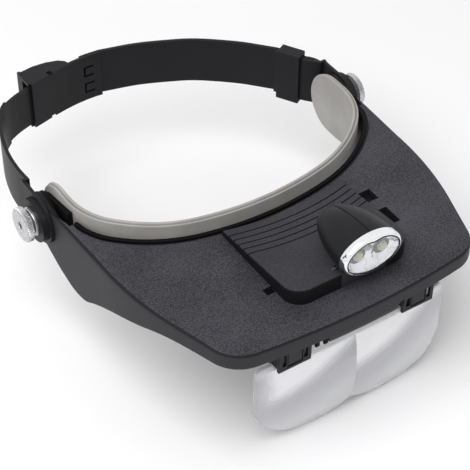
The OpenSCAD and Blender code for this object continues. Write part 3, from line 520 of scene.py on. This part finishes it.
def visor_sheet():
    """The shell's outer face as one grid: side wall, rolled edge, then the top to the brow edge."""
    half = visor_half()
    plan = half + [(-x, y) for x, y in half[-2::-1]]
    steps = walk(plan)
    gone = [g for g, _ in walk(brow)]
    nose = steps[len(half) - 1][0]
    start = min(range(len(half)), key=lambda i: abs(half[i][1] + 24))
    top_len = nose - steps[start][0]
    rows = []
    for (x, y), (run, (nx, ny)) in zip(plan, steps):
        row = wall_row(x, y, nx, ny)
        middle = abs(run - nose)
        if middle > top_len + 0.01:
            row += [None] * (8 + len(ledge))
        else:
            want = middle / top_len * gone[-1]
            j = next(j for j in range(1, len(gone)) if gone[j] >= want - 1e-6)
            t = (want - gone[j - 1]) / (gone[j] - gone[j - 1])
            bx, by = (brow[j - 1][d] + t * (brow[j][d] - brow[j - 1][d]) for d in (0, 1))
            row += top_row(row[-1][0], row[-1][1], -bx if x < 0 else bx, by)
        rows.append(row)
    return skin(rows)


def block(x, y, z):
    """A box between two corners, given as its low and high x, y and z."""
    shape = bmesh.new()
    bmesh.ops.create_cube(shape, size=1)
    for v in shape.verts:
        v.co = [(s[0] + s[1]) / 2 + c * (s[1] - s[0]) for s, c in zip((x, y, z), v.co)]
    return shape


def rod(a, b, r, count=32):
    """A round bar from a to b."""
    shape = bmesh.new()
    a, b = Vector(a), Vector(b)
    turn = (b - a).to_track_quat("Z", "Y").to_matrix().to_4x4()
    bmesh.ops.create_cone(shape, cap_ends=True, segments=count, radius1=r, radius2=r,
                          depth=(b - a).length, matrix=Matrix.Translation((a + b) / 2) @ turn)
    return shape


def carved(shape, cutters, wall=0):
    """shape with its wall thickness grown inwards and the cutters taken out of it."""
    def bench(form):
        bmesh.ops.recalc_face_normals(form, faces=form.faces)
        mesh = bpy.data.meshes.new("blank")
        form.to_mesh(mesh)
        form.free()
        held = bpy.data.objects.new("blank", mesh)
        bpy.context.scene.collection.objects.link(held)
        return held
    body = bench(shape)
    if wall:
        thick = body.modifiers.new("wall", "SOLIDIFY")
        thick.thickness, thick.offset, thick.use_even_offset = wall, -1, True
    tools = [bench(c) for c in cutters]
    for tool in tools:
        cut = body.modifiers.new("cut", "BOOLEAN")
        cut.operation, cut.solver, cut.object = "DIFFERENCE", "EXACT", tool
    bpy.context.view_layer.update()
    done = bmesh.new()
    done.from_mesh(body.evaluated_get(bpy.context.evaluated_depsgraph_get()).data)
    for used in [body, *tools]:
        bpy.data.objects.remove(used)
    return done


def eroded(dark, light, plain_side_or_shade, edge, lean=0.0, gloss=0.42):
    """Spark-eroded plastic: pebbled on top, plain on the sides, with a painted shade line along the crease
    where they meet, and a painted shadow darkening the ears. edge is the line's height at y = 0, lean how
    much it rises forwards."""
    def look(at):
        back = at.along("Y")
        height = at.along("Z") + lean * back
        top = height.between(edge - 0.00015, edge)
        # painted shade: a dark band on the rolled edge just under the top, standing in for the shade of the
        # crease
        line = height.between(edge - 0.0011, edge - 0.0009)
        # painted shadow: the ears' tops are darkened as if in the shade of the straps and their discs
        ear = back.between(-0.023, -0.014)
        pebble = at.add("TexVoronoi", {"feature": "SMOOTH_F1"}, {"Vector": at, "Scale": 2300.0})
        fleck = at.noise(0.62, 2)
        drift = at.noise(40, 2)
        shade = (0.3 * drift + 0.7 * fleck).between(0.36, 0.64)
        side = line.blend(plain_side_or_shade, tone(26, 26, 28))
        pebbled = ear.blend(shade.blend(dark, light), tone(17, 17, 18))
        return {"Base Color": top.blend(side, pebbled), "Roughness": gloss + 0.2 * fleck,
                "Normal": at.relief(pebble * top, 0.05, 0.7)}
    return look


visor_skin = finish("spark_eroded_black", {"Specular IOR Level": 0.15},
                    eroded(tone(37, 37, 41), tone(73, 73, 79), tone(47, 47, 50), VISOR_TOP / 1000 - 0.00012))
HOLDER_X = 34.2
SCREW_Y = -124.8
PIVOT_HOLE_R, SCREW_HOLE_R = 2.3, 1.1
EAR_DRILL = ((-95, -80), (80, 95))
THROUGH_TOP = (4, 14)
POCKET_Z = (4.8, 9.05)

# Each window in the top, then the near-black pocket under it, painted shade seen through the window: x and y
# of both.
windows = {"rear": ((39.6, 48.3), (-85.6, -78), (38.8, 49.2), (-86.4, -77.2)),
           "front": ((38.8, 47.4), (-103.6, -92.4), (39, 48.4), (-104, -91.8)),
           "catch": ((-32.4, -27.4), (-111.2, -107), (-33.4, -26.4), (-112.2, -106))}
lamp_well = block((-21.9, 32.9), (-121.1, -73.7), THROUGH_TOP)
holes = [lamp_well] + [block(x, y, THROUGH_TOP) for x, y, _, _ in windows.values()]
holes += [rod((start, 0, 0), (end, 0, 0), PIVOT_HOLE_R) for start, end in EAR_DRILL]
holes += [rod((x, SCREW_Y, 5), (x, SCREW_Y, 9.8), SCREW_HOLE_R) for x in (HOLDER_X, -HOLDER_X)]
place("visor_moulding", carved(visor_sheet(), holes, wall=VISOR_WALL), "visor", "visor", visor_skin,
      "visor_shell", soften=0.25)

# The lip's section: distance in front of the brow edge, height.
lip_section = [(1.5, 8.9), (1.45, 11.2), (1.3, 11.55), (0.95, 11.7), (0, 11.7), (-0.35, 11.55),
               (-0.5, 11.2), (-0.5, 9.3), (-0.1, 8.9)]
lip_line = both_sides(brow)
lip_rows = [[(x - d * nx, y - d * ny, z) for d, z in lip_section]
            for (x, y), (_, (nx, ny)) in zip(lip_line, walk(lip_line))]
# The lip is drawn near-black: painted shade, the shadow that lies under the brow pad.
place("visor_brow_lip", skin(lip_rows, around=True, ends=True), "visor", "visor", black_or_shade, crisp=60)

# The low lip under the middle of the front: distance behind its face, height.
front_section = [(0, 3.2), (0, -0.1), (0.2, -0.4), (1.4, -0.4), (1.6, -0.1), (1.6, 3.2)]
front_rows = [[(x, y + d, z) for d, z in front_section]
              for x, y in arc(0, FRONT_MIDDLE_Y, FRONT_R - 0.4, -92.51, -87.49, 24)]
place("visor_front_lip", skin(front_rows, around=True, ends=True), "visor", "visor", visor_skin, crisp=50)

# Small hooks beside that lip, drawn near-black: their black plastic and partly painted shade of the recess
# they sit in. x, y and how low they reach.
hooks = {"left_notch": ((-26, -23.8), (-139.9, -138.6), -0.7),
         "right_notch": ((-21.8, -19.7), (-140.4, -139), -0.7),
         "far_notch": ((19.4, 21.8), (-141, -139.4), 0.9)}
for name, (x, y, foot) in hooks.items():
    place(name + "_hook", block(x, y, (foot, 4)), "visor", "visor", black_or_shade, soften=0.25)
for name, (_, _, x, y) in windows.items():
    place(name + "_window_shade_pocket", block(x, y, POCKET_Z), "visor", "visor", black_or_shade, soften=0.3)

# Lens holders: two black clips under the visor's front rim, each held by one small screw from
# below. Their slots take the lens plate's clear tabs, and a flat panel closes each front.

for side, x in (("left", -HOLDER_X), ("right", HOLDER_X)):
    recess = block((x - 4.1, x + 4.1), (-137, -135.7), (-9.4, 1.6))
    panel = block((x - 3.75, x + 3.75), (-136.25, -135.6), (-8.5, 1.3))
    cheek = block((x - 9.5, x - 8.8), (-136.2 if x < 0 else -131.7, -126), (-7.8, 3))
    place(side + "_holder_moulding", carved(cad_form(side + "_holder"), [recess]), "visor", "holder",
          black_plastic, side + "_holder", soften=0.25)
    place(side + "_holder_cheek", cheek, "visor", "holder", black_plastic, soften=0.2)
    place(side + "_holder_panel", panel, "visor", "holder", visor_skin, soften=0.3)
dress("holder_screws", "holder_fixing_screws", "visor", "screw_head", steel, 0.2)

# Lens plate: one clear acrylic moulding of two round lobes whose bulged fronts meet in a line.
# It pulls down out of the holders, and other powers go in its place.


def clear_acrylic(at):
    """Clear plastic with painted light on each lobe: a painted bright reflection over a painted darker band.
    """
    haze = at.noise(22, 2)
    scuff = at.noise(0.5, 3)
    across, up = at.along("X"), at.along("Z")
    slope, lobe_to_lobe, drop = 0.41, 0.0447, 0.0305
    slant = up + drop - slope * (across + lobe_to_lobe * (across < 0))
    # painted reflection: the glare zone is made partly metallic so that it mirrors the white room; painted
    # shade: the band below it is darkened
    painted_glare = slant.between(-0.0045, 0.0055) * up.between(-0.0095, -0.012) * across.between(-0.053, -0.041)
    painted_shade_band = slant.between(-0.027, -0.006) * (1 - painted_glare) * up.between(-0.009, -0.016)
    clear = haze.between(0.3, 0.7).blend((0.95, 0.95, 0.97, 1), (0.98, 0.98, 1.0, 1))
    return {"Base Color": painted_shade_band.blend(clear, (0.76, 0.76, 0.79, 1)), "Metallic": 0.52 * painted_glare,
            "Roughness": 0.03 + 0.05 * scuff.between(0.55, 0.75)}


acrylic = finish("clear_acrylic", {"Transmission Weight": 0.62, "IOR": 1.49}, clear_acrylic)
LOBE_X, LOBE_Z, LOBE_R = 20.5, -25, 34.5
CUSP_ANGLE, RIM_TURN = -126.46, 104.1
HUB_Z, CUSP_Z = -30, -52.75
HALF, TAB_X, TAB_TOP = 52.4, 43, 0.5
FACE_Y, BACK_Y, PLATE_CURVE = -134.4, -132.4, 2
BULGE, BULGE_Z, BULGE_W, BULGE_H = 5.2, -33, 33, 25


def lobe_outline():
    """One lobe's edge in x and z, round from the cusp to the top of the seam and back down."""
    edge = arc(LOBE_X, LOBE_Z, LOBE_R, CUSP_ANGLE, CUSP_ANGLE + RIM_TURN, 60)
    edge += [(HALF, -36 + 3 * k) for k in range(9)]
    edge += arc(HALF - 4, -12, 4, 0, 90, 6)
    edge += [(TAB_X + 2, -8), (TAB_X, -8), (TAB_X, -4), (TAB_X, TAB_TOP)]
    edge += [(40 - 2.5 * k, TAB_TOP) for k in range(16)]
    return edge + [(0, TAB_TOP - (TAB_TOP - CUSP_Z) * k / 22) for k in range(22)]


def bulge(x, z):
    """How far the front of a lobe stands out of the plate."""
    across, upright = 1 - ((x - LOBE_X) / BULGE_W)**2, 1 - ((z - BULGE_Z) / BULGE_H)**2
    return BULGE * across * upright if across > 0 and upright > 0 else 0


def lens_lobe(side):
    """One lobe: its front fans out from the middle, the rim and the flat back close it."""
    outline = lobe_outline()
    shape = bmesh.new()
    steps = [k / 24 for k in range(1, 24)] + [0.975, 1.0]
    loops = []
    for s in steps + [1.0]:
        flat = len(loops) == len(steps)
        loop = []
        for ex, ez in outline:
            x, z = LOBE_X + (ex - LOBE_X) * s, HUB_Z + (ez - HUB_Z) * s
            y = FACE_Y - bulge(x, z) if not flat else BACK_Y
            if s == 1.0 and not flat and x > 0.01:
                y += 0.25
            loop.append(shape.verts.new((side * x, y + PLATE_CURVE * (x / HALF)**2, z)))
        loops.append(loop)
    sag = PLATE_CURVE * (LOBE_X / HALF)**2
    hub = shape.verts.new((side * LOBE_X, FACE_Y - bulge(LOBE_X, HUB_Z) + sag, HUB_Z))
    tail = shape.verts.new((side * LOBE_X, BACK_Y + sag, HUB_Z))
    around = len(outline)
    for j in range(around):
        k = (j + 1) % around
        shape.faces.new((hub, loops[0][j], loops[0][k]))
        shape.faces.new((tail, loops[-1][k], loops[-1][j]))
        for a, b in zip(loops, loops[1:]):
            on_seam = all(abs(v.co.x) < 1e-4 for v in (a[j], a[k], b[j], b[k]))
            if not on_seam:
                shape.faces.new((a[j], b[j], b[k], a[k]))
    return shape


def joined(forms):
    """Several forms in one mesh."""
    whole = bmesh.new()
    for form in forms:
        part = bpy.data.meshes.new("part")
        form.to_mesh(part)
        form.free()
        whole.from_mesh(part)
    return whole


place("magnifier_plate", joined([lens_lobe(1), lens_lobe(-1)]), "lens", "lens", acrylic, "lens_plate",
      crisp=14)

# Lamp unit: a matt housing with five grip grooves across its sloping roof, clipped over a base
# with the battery bay. Two small cells lie across it between sprung contacts, over a slide-off
# cover; a switch slides in the right wall.

ROOF_REAR, ROOF_RISE, ROOF_RUN = 14.5, 5.5, 53
GROOVES, FIRST_GROOVE, GROOVE_PITCH = 5, -77, 4
GROOVE_DEPTH, GROOVE_WIDTH, GROOVE_SLOPE = 0.9, 0.62, 0.04
LEFT_CORNER, RIGHT_CORNER = (-19, -116, 7.8), (27, -113, 10.8)
BOW_R, BOW_X = 118, 5.5
ROOF_THICK = 1.7
VISOR_SEAT = 11.02


def roof(y):
    """Height of the sloping roof."""
    return ROOF_REAR - (72 + y) * ROOF_RISE / ROOF_RUN


def reach(v, corner):
    """How far the side lies from the centre of its front corner's round, at v."""
    _, middle, r = corner
    return r if v > middle else math.sqrt(max(r**2 - (v - middle)**2, 0))


def case_roof():
    """The roof as a grid of rows that follow the brow's curve, with the grooves let in."""
    levels = [(-73.2, 0), (-75, 0)]
    for k in range(GROOVES):
        v = FIRST_GROOVE - GROOVE_PITCH * k
        levels += [(v + GROOVE_SLOPE, 0), (v, -GROOVE_DEPTH), (v - GROOVE_WIDTH, -GROOVE_DEPTH),
                   (v - GROOVE_WIDTH - GROOVE_SLOPE, 0)]
    levels += [(v, 0) for v in (-96, -99, -102, -105, -108, -111, -113, -115, -117, -118.6, -120, -121.2,
                                -122.2, -123, -123.5, -123.8)]
    rows = []
    for v, deep in levels:
        bow = 1 - ease((-97 - v) / 16)
        left = LEFT_CORNER[0] - reach(v, LEFT_CORNER)
        right = RIGHT_CORNER[0] + reach(v, RIGHT_CORNER)
        row = []
        for k in range(33):
            x = left + (right - left) * k / 32
            y = v + bow * (BOW_R - math.sqrt(BOW_R**2 - (x - BOW_X)**2))
            row.append((x, y, deep))
        rows.append(row)
    return rows


def outward(loop):
    """The mitred outward direction at each point of a closed plan line."""
    out = []
    for i, (x, y, _) in enumerate(loop):
        (ax, ay, _), (bx, by, _) = loop[i - 1], loop[(i + 1) % len(loop)]
        one, two = Vector((y - ay, ax - x)).normalized(), Vector((by - y, x - bx)).normalized()
        out.append((one + two) / (1 + one.dot(two)))
    return out


def case_body():
    """The roof, its rolled edge and the walls, down to the visor and up again inside."""
    shape = bmesh.new()
    rows = case_roof()
    grid = [[shape.verts.new((x, y, roof(y) + deep)) for x, y, deep in row] for row in rows]
    for a, b in zip(grid, grid[1:]):
        for j in range(len(a) - 1):
            shape.faces.new((a[j], a[j + 1], b[j + 1], b[j]))
    last = len(rows) - 1
    spots = [(i, 0) for i in range(last)] + [(last, j) for j in range(32)]
    spots += [(i, 32) for i in range(last, 0, -1)] + [(0, j) for j in range(32, 0, -1)]
    loop = [rows[i][j] for i, j in spots]
    above = [grid[i][j] for i, j in spots]
    ways = outward(loop)
    rolled = ((0.45, 0.04), (0.75, 0.16), (1.0, 0.42), (1.14, 0.75), (1.2, 1.2))
    for far, drop in rolled + ((1.2, None), (0, None)):
        ring = []
        for (x, y, deep), way in zip(loop, ways):
            px, py = x + far * way.x, y + far * way.y
            height = VISOR_SEAT if drop is None else roof(py) - drop + deep
            ring.append(shape.verts.new((px, py, height)))
        for j in range(len(ring)):
            k = (j + 1) % len(ring)
            shape.faces.new((above[j], ring[j], ring[k], above[k]))
        above = ring
    under = [[shape.verts.new((x, y, roof(y) - ROOF_THICK)) for x, y, _ in row] for row in rows]
    for a, b in zip(under, under[1:]):
        for j in range(len(a) - 1):
            shape.faces.new((a[j], b[j], b[j + 1], a[j + 1]))
    inner = [under[i][j] for i, j in spots]
    for j in range(len(inner)):
        k = (j + 1) % len(inner)
        shape.faces.new((above[j], inner[j], inner[k], above[k]))
    return shape


# The housing's rolled edge and walls take a near-black tone: painted shade that keeps them darker than the
# lit roof.
case_skin = finish("matt_black_housing", {"Specular IOR Level": 0.12},
                   eroded(tone(46, 46, 50), tone(62, 62, 67), tone(19, 19, 20),
                          roof(0) / 1000 - 0.00035, ROOF_RISE / ROOF_RUN, 0.5))
neck_notch = block((-2.7, 22.7), (-128, -118.8), (10, 30))
switch_window = block((36, 42), (-104, -97), (13.2, 15.0))
lamp_relief = block((2, 18), (-119.5, -110.5), (18.15, 30))
place("lamp_housing", carved(case_body(), [neck_notch, switch_window, lamp_relief]), "visor", "lamp_base",
      case_skin, "lamp_case", crisp=28)
dress("battery_tub", "battery_base", "visor", "lamp_base", black_plastic, 0.3)
dress("battery_cover", "battery_lid", "cover", "lamp_base", black_plastic, 0.25)


def printed_jacket(at):
    """A two-colour shrink jacket: the band of colour changes along the cell."""
    grain = at.noise(3, 2)
    colour = at.along("X").between(0.0135, 0.0137).blend(tone(58, 92, 70), tone(178, 150, 84))
    return {"Base Color": colour, "Roughness": 0.25 + 0.1 * grain}


jacket = finish("cell_jacket", {"Metallic": 0.3}, printed_jacket)
for spot in ("rear", "front"):
    dress(spot + "_cell", spot + "_battery_cell", "visor", "cell", jacket, 0.35)
dress("contact_plates", "contact_strips", "visor", "contact", nickel, 0.1)


def wound(points, r):
    """A wire of radius r along a line of points."""
    count = 8
    rows = []
    for i, p in enumerate(points):
        ahead = (Vector(points[min(i + 1, len(points) - 1)]) - Vector(points[max(i - 1, 0)])).normalized()
        aside = ahead.cross((0.02, 0.01, 1)).normalized()
        over = aside.cross(ahead)
        rows.append([tuple(Vector(p) + r * (math.cos(a) * aside + math.sin(a) * over))
                     for a in (2 * math.pi * k / count for k in range(count))])
    return skin(rows, around=True, ends=True)


SPRING_LONG, SPRING_R, SPRING_WIRE, SPRING_TURNS = 4.6, 2.05, 0.3, 5
SPRING_INSET, SPRING_Z = 2.4, 8.15


def coil(x, y):
    """A contact spring's wire, from x along its axis at y."""
    start, end = x + SPRING_WIRE, x + SPRING_LONG - SPRING_WIRE
    count = SPRING_TURNS * 16
    return [(start + (end - start) * i / count, y + SPRING_R * math.cos(i * math.pi / 8),
             SPRING_Z + SPRING_R * math.sin(i * math.pi / 8)) for i in range(count + 1)]


low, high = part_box("contact_springs")
springs = joined([wound(coil(low.x * 1000, high.y * 1000 - SPRING_INSET), SPRING_WIRE),
                  wound(coil(high.x * 1000 - SPRING_LONG, low.y * 1000 + SPRING_INSET), SPRING_WIRE)])
place("contact_coils", springs, "visor", "contact", steel, "contact_springs")


def green_laminate(at):
    weave = at.noise(0.9, 2)
    return {"Base Color": weave.blend(tone(38, 92, 60), tone(56, 116, 78)), "Roughness": 0.3 + 0.2 * weave}


laminate = finish("green_board", {}, green_laminate)
dress("driver_board", "driver_circuit", "visor", "board", laminate, 0.1)
dress("switch_slider", "slide_switch", "switch", "lamp_base", black_plastic, 0.2)

# Lamp head: two black shell halves round a chromed front with its reflector, two LEDs on a
# small board behind a clear window, and a neck whose barrel turns on a steel pin in the housing.

LAMP = (10, -127, 29.8)
LAMP_HALF_W, LAMP_HALF_H, LAMP_LONG = 16, 10.9, 32
SEAM_DEPTH, SEAM_WIDTH = 0.5, 0.32
LED_ASIDE = 6.5
CUP_DEPTH, CUP_FLOOR_R, CUP_SLOPE_W, FACE_DEPTH = 3.0, 1.5, 7.5, 0.5
PEAK_WIDTH = 2.6
GASKET_WIRE = 0.26
BARREL_Y, BARREL_Z, BARREL_R = -123.5, 15.8, 4.3


def shell_half(way):
    """Half an egg, its edge rolled down where the two halves meet."""
    turns = [0.006 * k for k in range(4)] + [k / 40 for k in range(4, 37)]
    turns += [1 - 0.006 * (40 - k) for k in range(37, 41)]
    rows = []
    for i in range(31):
        b = math.radians(min(3 * i, 88.5))
        s, y = math.cos(b), LAMP[1] + LAMP_LONG * math.sin(b)
        row = []
        for turn in turns:
            a = math.pi * turn
            across = LAMP_HALF_W * s * math.sin(a)
            sink = SEAM_DEPTH * math.exp(-(across / SEAM_WIDTH) ** 2)
            row.append((LAMP[0] + way * max(across, 0.02), y,
                        LAMP[2] + (LAMP_HALF_H * s - sink) * math.cos(a)))
        rows.append(row)
    return skin(rows, around=True, ends=True)


def satin_black(at):
    drift = at.noise(12, 2)
    return {"Base Color": drift.blend(tone(20, 20, 22), tone(30, 30, 33)), "Roughness": 0.3 + 0.1 * drift}


shell_paint = finish("satin_shell_black", {"Specular IOR Level": 0.15}, satin_black)
for side, way in (("left", -1), ("right", 1)):
    place("lamp_shell_" + side + "_half", shell_half(way), "lamp_head", "lamp_shell", shell_paint,
          "lamp_shell_" + side, crisp=70)
neck_paint = finish("satin_neck_black", {"Specular IOR Level": 0.2},
                    moulded(tone(44, 44, 46), tone(52, 52, 55), 0.4))
barrel = rod((-2.4, BARREL_Y, BARREL_Z), (22.4, BARREL_Y, BARREL_Z), BARREL_R, 64)
front_flat = block((-3, 23), (-130, -125.3), (5, 30))
place("lamp_neck_barrel", carved(barrel, [front_flat]), "lamp_head", "lamp_shell", neck_paint,
      "lamp_neck", soften=0.3)
place("lamp_neck_stem", block((4, 16), (-125.2, -119.9), (BARREL_Z, 21.5)), "lamp_head", "lamp_shell",
      black_plastic, soften=0.6)
dress("lamp_pin", "lamp_hinge_pin", "visor", "screw_head", steel, 0.15)
place("lamp_hinge_spring_leg", rod((-4.6, -120.4, 19.95), (-0.9, -120.4, 19.95), 0.4), "visor",
      "screw_head", steel)


def oval(inset, y, peak=0.0):
    """A ring of the lamp's oval, set in, with a peak hanging down at the middle of its top."""
    count = 96
    ring = []
    for k in range(count):
        a = 2 * math.pi * k / count
        x, z = (LAMP_HALF_W - inset) * math.cos(a), (LAMP_HALF_H - inset) * math.sin(a)
        if z > 0:
            z -= peak * math.exp(-(x / PEAK_WIDTH) ** 2)
        ring.append((LAMP[0] + x, y, LAMP[2] + z))
    return ring


def reflector(ring, y):
    """Two round cups sunk in the front, one round each LED, inside the ring."""
    rows = [ring]
    for s in (0.97, 0.94, 0.9, 0.85, 0.78, 0.7, 0.6, 0.5, 0.4, 0.3, 0.2, 0.1, 0.02):
        row = []
        for x, _, z in ring:
            px, pz = LAMP[0] + (x - LAMP[0]) * s, LAMP[2] + (z - LAMP[2]) * s
            off = min(math.dist((px, pz), (LAMP[0] + e, LAMP[2])) for e in (-LED_ASIDE, LED_ASIDE))
            deep = CUP_DEPTH * (1 - ease(max(off - CUP_FLOOR_R, 0) / CUP_SLOPE_W)) + FACE_DEPTH
            row.append((px, y + deep * min(1, (1 - s) * 8), pz))
        rows.append(row)
    return rows


def chrome_plate(at):
    """Bright chrome with a painted dark blue-grey reflection at the left end."""
    swirl = at.noise(5, 2)
    dark_reflection = at.noise(3.5, 2).between(0.56, 0.62) * at.along("X").between(0.003, -0.001)
    bright = swirl.blend(tone(228, 230, 233), tone(244, 245, 247))
    return {"Base Color": dark_reflection.blend(bright, tone(70, 76, 88)), "Roughness": 0.04 + 0.05 * swirl}


# The chromed ring from its seat over the rim and in to the window: inset, y, peak.
ring_line = [(1.4, -127.0, 0), (0.0, -127.0, 0), (0, -127.4, 0), (0, -128.6, 0), (0.05, -129.6, 0),
             (0.3, -130.3, 0), (0.7, -130.75, 0), (1.1, -130.95, 0), (1.5, -131.0, 0.8),
             (1.75, -130.9, 1.2), (1.85, -130.6, 1.4), (1.9, -130.0, 1.5)]
chrome = finish("bright_chrome", {"Metallic": 1.0}, chrome_plate)
gasket = oval(1.72, -130.9, 1.3)
place("lamp_window_gasket", wound(gasket + gasket[:1], GASKET_WIRE), "lamp_head", "bezel", black_or_shade)
front = skin([oval(*line) for line in ring_line] + reflector(oval(1.9, -129.8, 1.5), -129.6), around=True)
place("lamp_chrome_front", front, "lamp_head", "bezel", chrome, "lamp_bezel", crisp=50)


def clear_styrene(at):
    scuff = at.noise(0.5, 3)
    return {"Base Color": scuff.blend((0.97, 0.97, 0.98, 1), (0.99, 0.99, 1.0, 1)),
            "Roughness": 0.015 + 0.05 * scuff.between(0.55, 0.75)}


styrene = finish("clear_styrene", {"Transmission Weight": 0.92, "IOR": 1.49}, clear_styrene)
dress("lamp_lens", "lamp_window", "lamp_head", "lamp_lens", styrene, 0.2)
dress("lamp_board", "lamp_led_board", "lamp_head", "lamp_board", laminate, 0.1)


def dome(x):
    """A 5 mm LED: a flange and a round-topped body that looks along -Y."""
    r, shoulder, count = 2.5, -127.0, 40
    line = [(-125.4, 0.1), (-125.4, 3.1), (-126.1, 3.1), (-126.2, 2.95), (-126.2, r), (shoulder, r)]
    line += [(shoulder - 2.3 * math.sin(a), r * math.cos(a))
             for a in (math.radians(10 * k) for k in range(1, 9))]
    line += [(-129.3, 0.1)]
    turns = [2 * math.pi * k / count for k in range(count)]
    rows = [[(x + q * math.cos(a), y, LAMP[2] + q * math.sin(a)) for a in turns] for y, q in line]
    return skin(rows, around=True, ends=True)


def phosphor(at):
    cloud = at.noise(1.2, 2)
    return {"Base Color": cloud.blend(tone(196, 190, 140), tone(226, 222, 184)),
            "Roughness": 0.08 + 0.1 * cloud}


led_paint = finish("led_resin", {"Coat Weight": 1.0}, phosphor)
for side, aside in (("left", -LED_ASIDE), ("right", LED_ASIDE)):
    place(side + "_led_dome", dome(LAMP[0] + aside), "lamp_head", "led", led_paint, "led_" + side)

# Studio: a white table under the magnifier, a white room, one broad lamp over it and the camera.
# The room lights the object at a plain level, and rays that see it or mirror it find it white.

scene = bpy.context.scene
scene.view_settings.view_transform = "Standard"

TABLE_REACH, TABLE_Z = 3.0, -0.0598
table_mesh = bpy.data.meshes.new("table_top")
table_mesh.from_pydata([(x * TABLE_REACH, y * TABLE_REACH, TABLE_Z)
                        for x, y in ((-1, -1), (1, -1), (1, 1), (-1, 1))], [], [(0, 1, 2, 3)])
table = bpy.data.objects.new("table_top", table_mesh)
scene.collection.objects.link(table)


def table_paint(at):
    return {"Base Color": at.noise(400, 1).blend((0.93, 0.93, 0.93, 1), (0.95, 0.95, 0.95, 1))}


table.data.materials.append(finish("white_table", {"Roughness": 0.9, "Specular IOR Level": 0.1},
                                   table_paint))

room = bpy.data.worlds.new("white_room")
scene.world = room
room.use_nodes = True
air = Wire(room.node_tree)
seen, mirrored, through_glass = (air.add("LightPath", out="Is " + kind + " Ray")
                                 for kind in ("Camera", "Glossy", "Transmission"))
shows = air.maths("MAXIMUM", seen, air.maths("MAXIMUM", mirrored, through_glass))
back = room.node_tree.nodes["Background"]
room.node_tree.links.new(shows.blend((0.62, 0.62, 0.63, 1), (1, 1, 1, 1)).socket, back.inputs["Color"])

light = bpy.data.lights.new("broad_lamp", "AREA")
light.shape, light.size, light.energy = "SQUARE", 1.0, 10
broad_lamp = bpy.data.objects.new("broad_lamp", light)
broad_lamp.location = (-0.5, -0.22, 1.02)
aim = Vector((0, -0.03, 0)) - broad_lamp.location
broad_lamp.rotation_mode = "QUATERNION"
broad_lamp.rotation_quaternion = aim.to_track_quat("-Z", "Y")
scene.collection.objects.link(broad_lamp)

camera = bpy.data.objects.new("camera", bpy.data.cameras.new("camera"))
scene.collection.objects.link(camera)
scene.camera = camera
camera.data.lens, camera.data.sensor_width = 118.1, 36
camera.data.clip_start, camera.data.clip_end = 0.02, 20
right = Vector((0.83744847, -0.54649244, 0.00510577))
up = Vector((0.36958952, 0.57319405, 0.73133588))
behind = Vector((-0.40259613, -0.61056908, 0.68199836))
camera.matrix_world = Matrix.Translation((-0.30932, -0.50460, 0.49601)) @ Matrix(
    (right, up, behind)).transposed().to_4x4()
